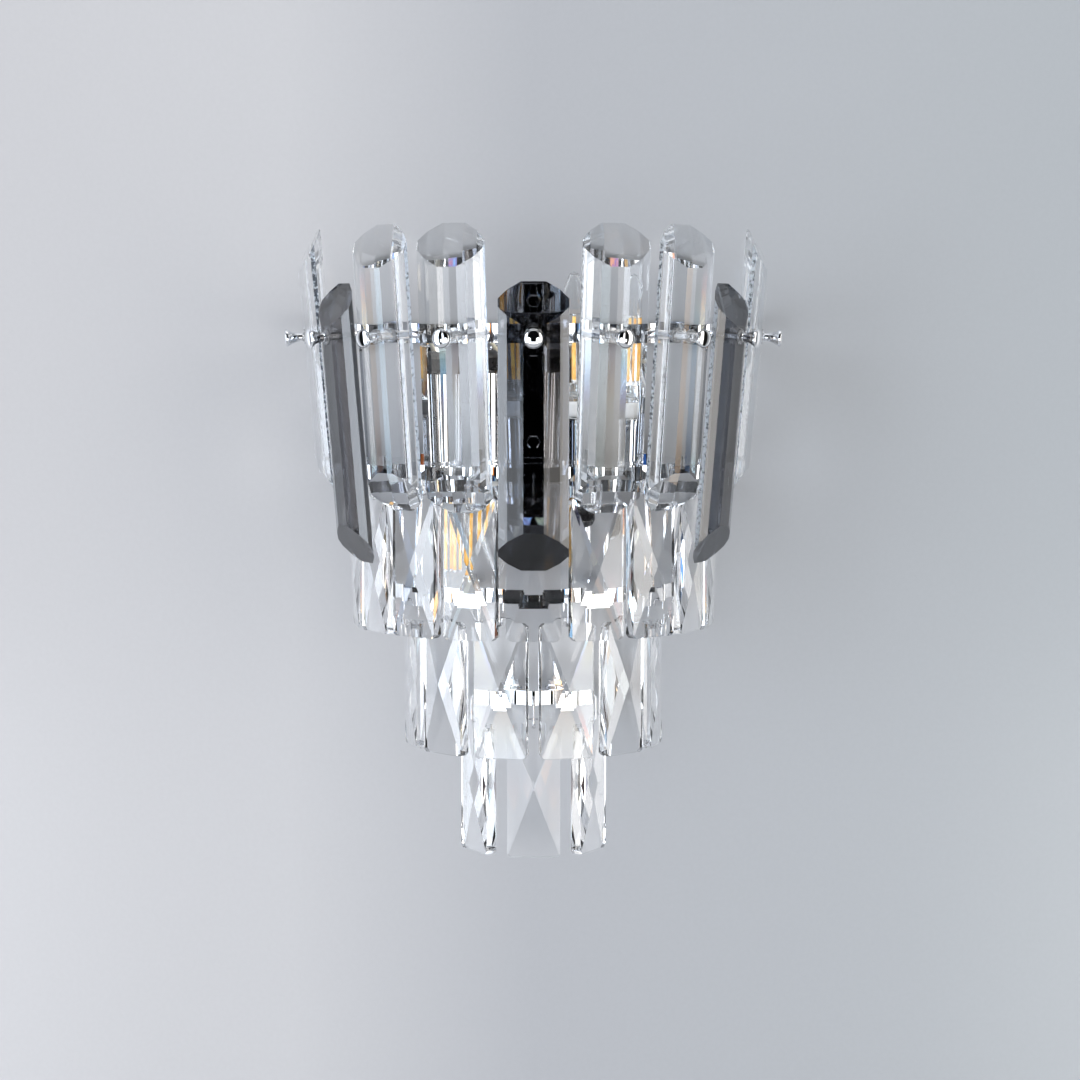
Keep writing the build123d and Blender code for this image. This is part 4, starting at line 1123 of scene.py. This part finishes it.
@dataclass
class Studio:
    """Camera, wall, floor and the soft light round the sconce."""

    distance: float = 1.5
    height: float = 36.0 * MM
    aim: tuple[float, float, float] = (3.6 * MM, 0.0, -79.0 * MM)
    lens: float = 90.0

    def camera(self) -> None:
        """Makes the camera that stands where the photograph's did."""
        data = bpy.data.cameras.new("camera")
        data.lens = self.lens
        data.sensor_width = 36.0
        data.clip_start = 0.05
        camera = bpy.data.objects.new("camera", data)
        camera.location = (0.0, -self.distance, self.height)
        look = Vector(self.aim) - camera.location
        camera.rotation_mode = "QUATERNION"
        camera.rotation_quaternion = look.to_track_quat("-Z", "Y")
        bpy.context.scene.collection.objects.link(camera)
        bpy.context.scene.camera = camera

    def backdrop(self, name: str, corners: Array, tints: tuple) -> None:
        """A painted plane that is seen from its front alone, and from two millimetres away or more.

        The faces that rest on the wall are seen from behind in bright light, not in the wall's shade. The
        colour is painted light: it is scaled from 1.03 low down to 0.95 higher up, and on the wall the tints
        run lighter on the left, both standing in for how the studio light falls.

        Args:
            name: Name of the plane.
            corners: Its corners, 2 by 2 by 3.
            tints: Places from the left (0) to the right (1), each with its colour; on the wall they are painted
                light, lighter to the left.
        """
        surface = grid_surface(corners)
        mesh = bpy.data.meshes.new(name)
        mesh.from_pydata(surface.points, [], surface.faces)
        graph, _, at = material(f"{name}_paint")
        split = graph.node("ShaderNodeSeparateXYZ", {0: at})
        across = graph.node(
            "ShaderNodeMapRange", {"Value": split.outputs["X"], "From Min": -0.34, "From Max": 0.34}
        ).outputs["Result"]
        speck = graph.step(graph.noise(at, 400.0, 3.0), 0.3, 0.7, 0.985, 1.0)
        # Painted light: lighter low down and darker higher up, as the studio light falls.
        fall = graph.node(
            "ShaderNodeMapRange",
            {"Value": split.outputs["Z"], "From Min": -0.36, "From Max": 0.2, "To Min": 1.03, "To Max": 0.95},
        ).outputs["Result"]
        colour = graph.vector("SCALE", graph.ramp(across, tints))
        graph.tree.links.new(graph.math("MULTIPLY", speck, fall), colour.inputs["Scale"])
        paint_and_painted_light = graph.node("ShaderNodeBsdfPrincipled", {"Base Color": colour.outputs[0], "Roughness": 0.16})
        clear = graph.node("ShaderNodeBsdfTransparent")
        back = graph.node("ShaderNodeNewGeometry").outputs["Backfacing"]
        near = graph.math("LESS_THAN", graph.node("ShaderNodeLightPath").outputs["Ray Length"], 2.0 * MM)
        unseen = graph.math("MAXIMUM", back, near)
        both = graph.node("ShaderNodeMixShader", {0: unseen, 1: paint_and_painted_light.outputs[0], 2: clear.outputs[0]})
        graph.node("ShaderNodeOutputMaterial", {"Surface": both.outputs[0]})
        mesh.materials.append(bpy.data.materials[f"{name}_paint"])
        plane = bpy.data.objects.new(name, mesh)
        bpy.context.scene.collection.objects.link(plane)

    def light_zone(self, graph: Graph, azimuth: object, rise: object, zone: tuple) -> bpy.types.NodeSocket:
        """How far a direction lies inside one zone of the studio.

        Args:
            graph: The graph that gets the nodes.
            azimuth: Angle to the right of the camera, in degrees.
            rise: Angle above the horizon, in degrees.
            zone: Left, right, low and high limit and the softness of the edge, in degrees.

        Returns:
            1 inside the zone, 0 outside.
        """
        left, right, low, high, soft = zone
        sides = graph.math(
            "MULTIPLY",
            graph.step(azimuth, left - soft, left + soft),
            graph.step(azimuth, right - soft, right + soft, 1.0, 0.0),
        )
        ends = graph.math(
            "MULTIPLY",
            graph.step(rise, low - soft, low + soft),
            graph.step(rise, high - soft, high + soft, 1.0, 0.0),
        )
        return graph.math("MULTIPLY", sides, ends)

    def radiance_group(self) -> bpy.types.NodeTree:
        """Brightness of the studio by direction: bright panels, black flags and the dark room by the camera.

        Each zone is a level and its left, right, low and high limit and softness in degrees. A later zone
        lies over the earlier ones. They were placed where the glass and chrome send their reflections.
        """
        graph, given = group("studio_radiance", {"Azimuth": FLOAT, "Rise": FLOAT}, {"Value": FLOAT})
        azimuth, rise = given.outputs["Azimuth"], given.outputs["Rise"]
        value = graph.step(rise, -60.0, 60.0, 0.6, 1.0)
        zones = (
            (13.0, (-72.0, -50.0, -30.0, 38.0, 1.2)),
            (10.0, (52.0, 71.0, -30.0, 38.0, 1.2)),
            (2.6, (-180.0, 180.0, 62.0, 91.0, 3.0)),
            (0.02, (-49.0, -36.0, -50.0, 60.0, 0.8)),
            (0.02, (37.0, 50.0, -50.0, 60.0, 0.8)),
            (5.0, (-43.0, -34.0, -20.0, -10.3, 0.8)),
            (4.0, (34.0, 43.0, -20.0, -10.3, 0.8)),
            (7.0, (-35.0, -29.0, -40.0, 12.0, 0.8)),
            (6.0, (29.0, 34.0, -40.0, 12.0, 0.8)),
            (5.5, (-27.5, 27.5, -42.0, -7.0, 0.8)),
            (0.02, (-92.0, -75.0, -50.0, 60.0, 0.8)),
            (0.02, (75.0, 92.0, -50.0, 60.0, 0.8)),
            (0.008, (-28.5, 28.5, -7.0, 60.0, 0.8)),
            (0.008, (-10.0, 10.0, -20.0, 0.0, 0.8)),
            (19.0, (-20.2, -15.0, -9.5, -5.8, 0.6)),
            (19.0, (15.0, 20.2, -9.5, -5.8, 0.6)),
            (6.5, (-27.5, -20.2, -9.0, -6.4, 0.6)),
            (6.5, (20.2, 27.5, -9.0, -6.4, 0.6)),
            (0.1, (-70.0, 70.0, -91.0, -62.0, 3.0)),
        )
        for level, zone in zones:
            inside = self.light_zone(graph, azimuth, rise, zone)
            gap = graph.math("SUBTRACT", level, value)
            value = graph.math("MULTIPLY_ADD", inside, gap, value)
        graph.node("NodeGroupOutput", {"Value": value})
        return graph.tree

    def surroundings(self, strength: float = 0.485, spread: float = 0.35) -> None:
        """Lights the scene from all round.

        Glass splits colours: a ray that came through it meets the red, green and blue of the studio a little
        apart, so each black and white edge that it shows has a warm and a cold fringe.

        Args:
            strength: Brightness of the whole.
            spread: How far apart the colours lie, in degrees.
        """
        world = bpy.data.worlds.new("studio")
        world.use_nodes = True
        bpy.context.scene.world = world
        graph = Graph(world.node_tree)
        way = graph.node("ShaderNodeSeparateXYZ", {0: graph.node("ShaderNodeTexCoord").outputs["Generated"]})
        minus_y = graph.math("MULTIPLY", way.outputs["Y"], -1.0)
        azimuth = graph.math("DEGREES", graph.math("ARCTAN2", way.outputs["X"], minus_y))
        rise = graph.math("DEGREES", graph.math("ARCSINE", way.outputs["Z"]))
        path = graph.node("ShaderNodeLightPath")
        split = graph.math("MULTIPLY", path.outputs["Is Transmission Ray"], spread)
        radiance = self.radiance_group()
        levels = []
        for share in (-1.0, 0.0, 1.0):
            shift = graph.math("MULTIPLY", split, share)
            one = graph.node("ShaderNodeGroup", None, node_tree=radiance)
            graph.tree.links.new(graph.math("ADD", azimuth, shift), one.inputs["Azimuth"])
            graph.tree.links.new(graph.math("ADD", rise, shift), one.inputs["Rise"])
            levels.append(one.outputs["Value"])
        colour = graph.node("ShaderNodeCombineColor", dict(enumerate(levels)))
        side = graph.step(way.outputs["X"], -0.9, 0.9)
        tint = graph.mix(side, (0.93, 1.0, 1.09, 1.0), (1.04, 1.0, 0.95, 1.0))
        tinted = graph.vector("MULTIPLY", colour.outputs[0], tint)
        studio = graph.node("ShaderNodeBackground", {0: tinted.outputs[0], 1: strength})
        plain = graph.node("ShaderNodeBackground", {0: (0.62, 0.64, 0.67, 1.0), 1: 1.0})
        both = graph.node(
            "ShaderNodeMixShader", {0: path.outputs["Is Camera Ray"], 1: studio.outputs[0], 2: plain.outputs[0]}
        )
        graph.node("ShaderNodeOutputWorld", {"Surface": both.outputs[0]})

    def render_settings(self) -> None:
        """Sets how deep light is followed through the glass, and plain colours."""
        scene = bpy.context.scene
        scene.cycles.max_bounces = 24
        scene.cycles.transmission_bounces = 22
        scene.cycles.glossy_bounces = 10
        scene.cycles.diffuse_bounces = 3
        scene.cycles.transparent_max_bounces = 40
        scene.cycles.caustics_reflective = False
        scene.cycles.caustics_refractive = False
        scene.cycles.sample_clamp_indirect = 12.0
        scene.cycles.use_denoising = True
        scene.view_settings.view_transform = "Standard"

    def build(self) -> None:
        """Sets up the whole studio."""
        self.camera()
        wide, high, deep = 2.2, 1.6, 3.0
        behind = 0.2 * MM
        wall = np.array([[(side, behind, rise) for side in (-wide, wide)] for rise in (-high, high)])
        # Painted light: the wall's grey is lighter on the left and darker on the right, as the studio light
        # falls on it.
        paint_and_painted_light = (
            (0.0, (0.595, 0.592, 0.61)),
            (0.3, (0.6, 0.6, 0.618)),
            (0.5, (0.472, 0.482, 0.508)),
            (1.0, (0.445, 0.468, 0.488)),
        )
        self.backdrop("wall", wall, paint_and_painted_light)
        floor = np.array([[(side, back, -high) for side in (-wide, wide)] for back in (-deep, 0)])
        self.backdrop("floor", floor, ((0.0, (0.7, 0.71, 0.73)), (1.0, (0.7, 0.71, 0.73))))
        self.surroundings()
        self.render_settings()


def main() -> None:
    """Builds the studio and each sub-assembly of the sconce in order."""
    logging.basicConfig(level=logging.INFO, format="%(name)s %(message)s")
    Studio().build()
    for lead in LEADS:
        lead.build()
    Frame().build()
    Glass().build()
    StandoffKnobs().build()
    CrystalHooks().build()
    upper = CandleLamp("upper", 22.0 * MM, -9.75 * MM, Way.UP)
    inverted = CandleLamp("inverted", -28.5 * MM, -37.55 * MM, Way.DOWN)
    for lamp in (upper, inverted):
        lamp.build()
    LampSockets((upper, inverted)).build()


if __name__ == "__main__":
    main()
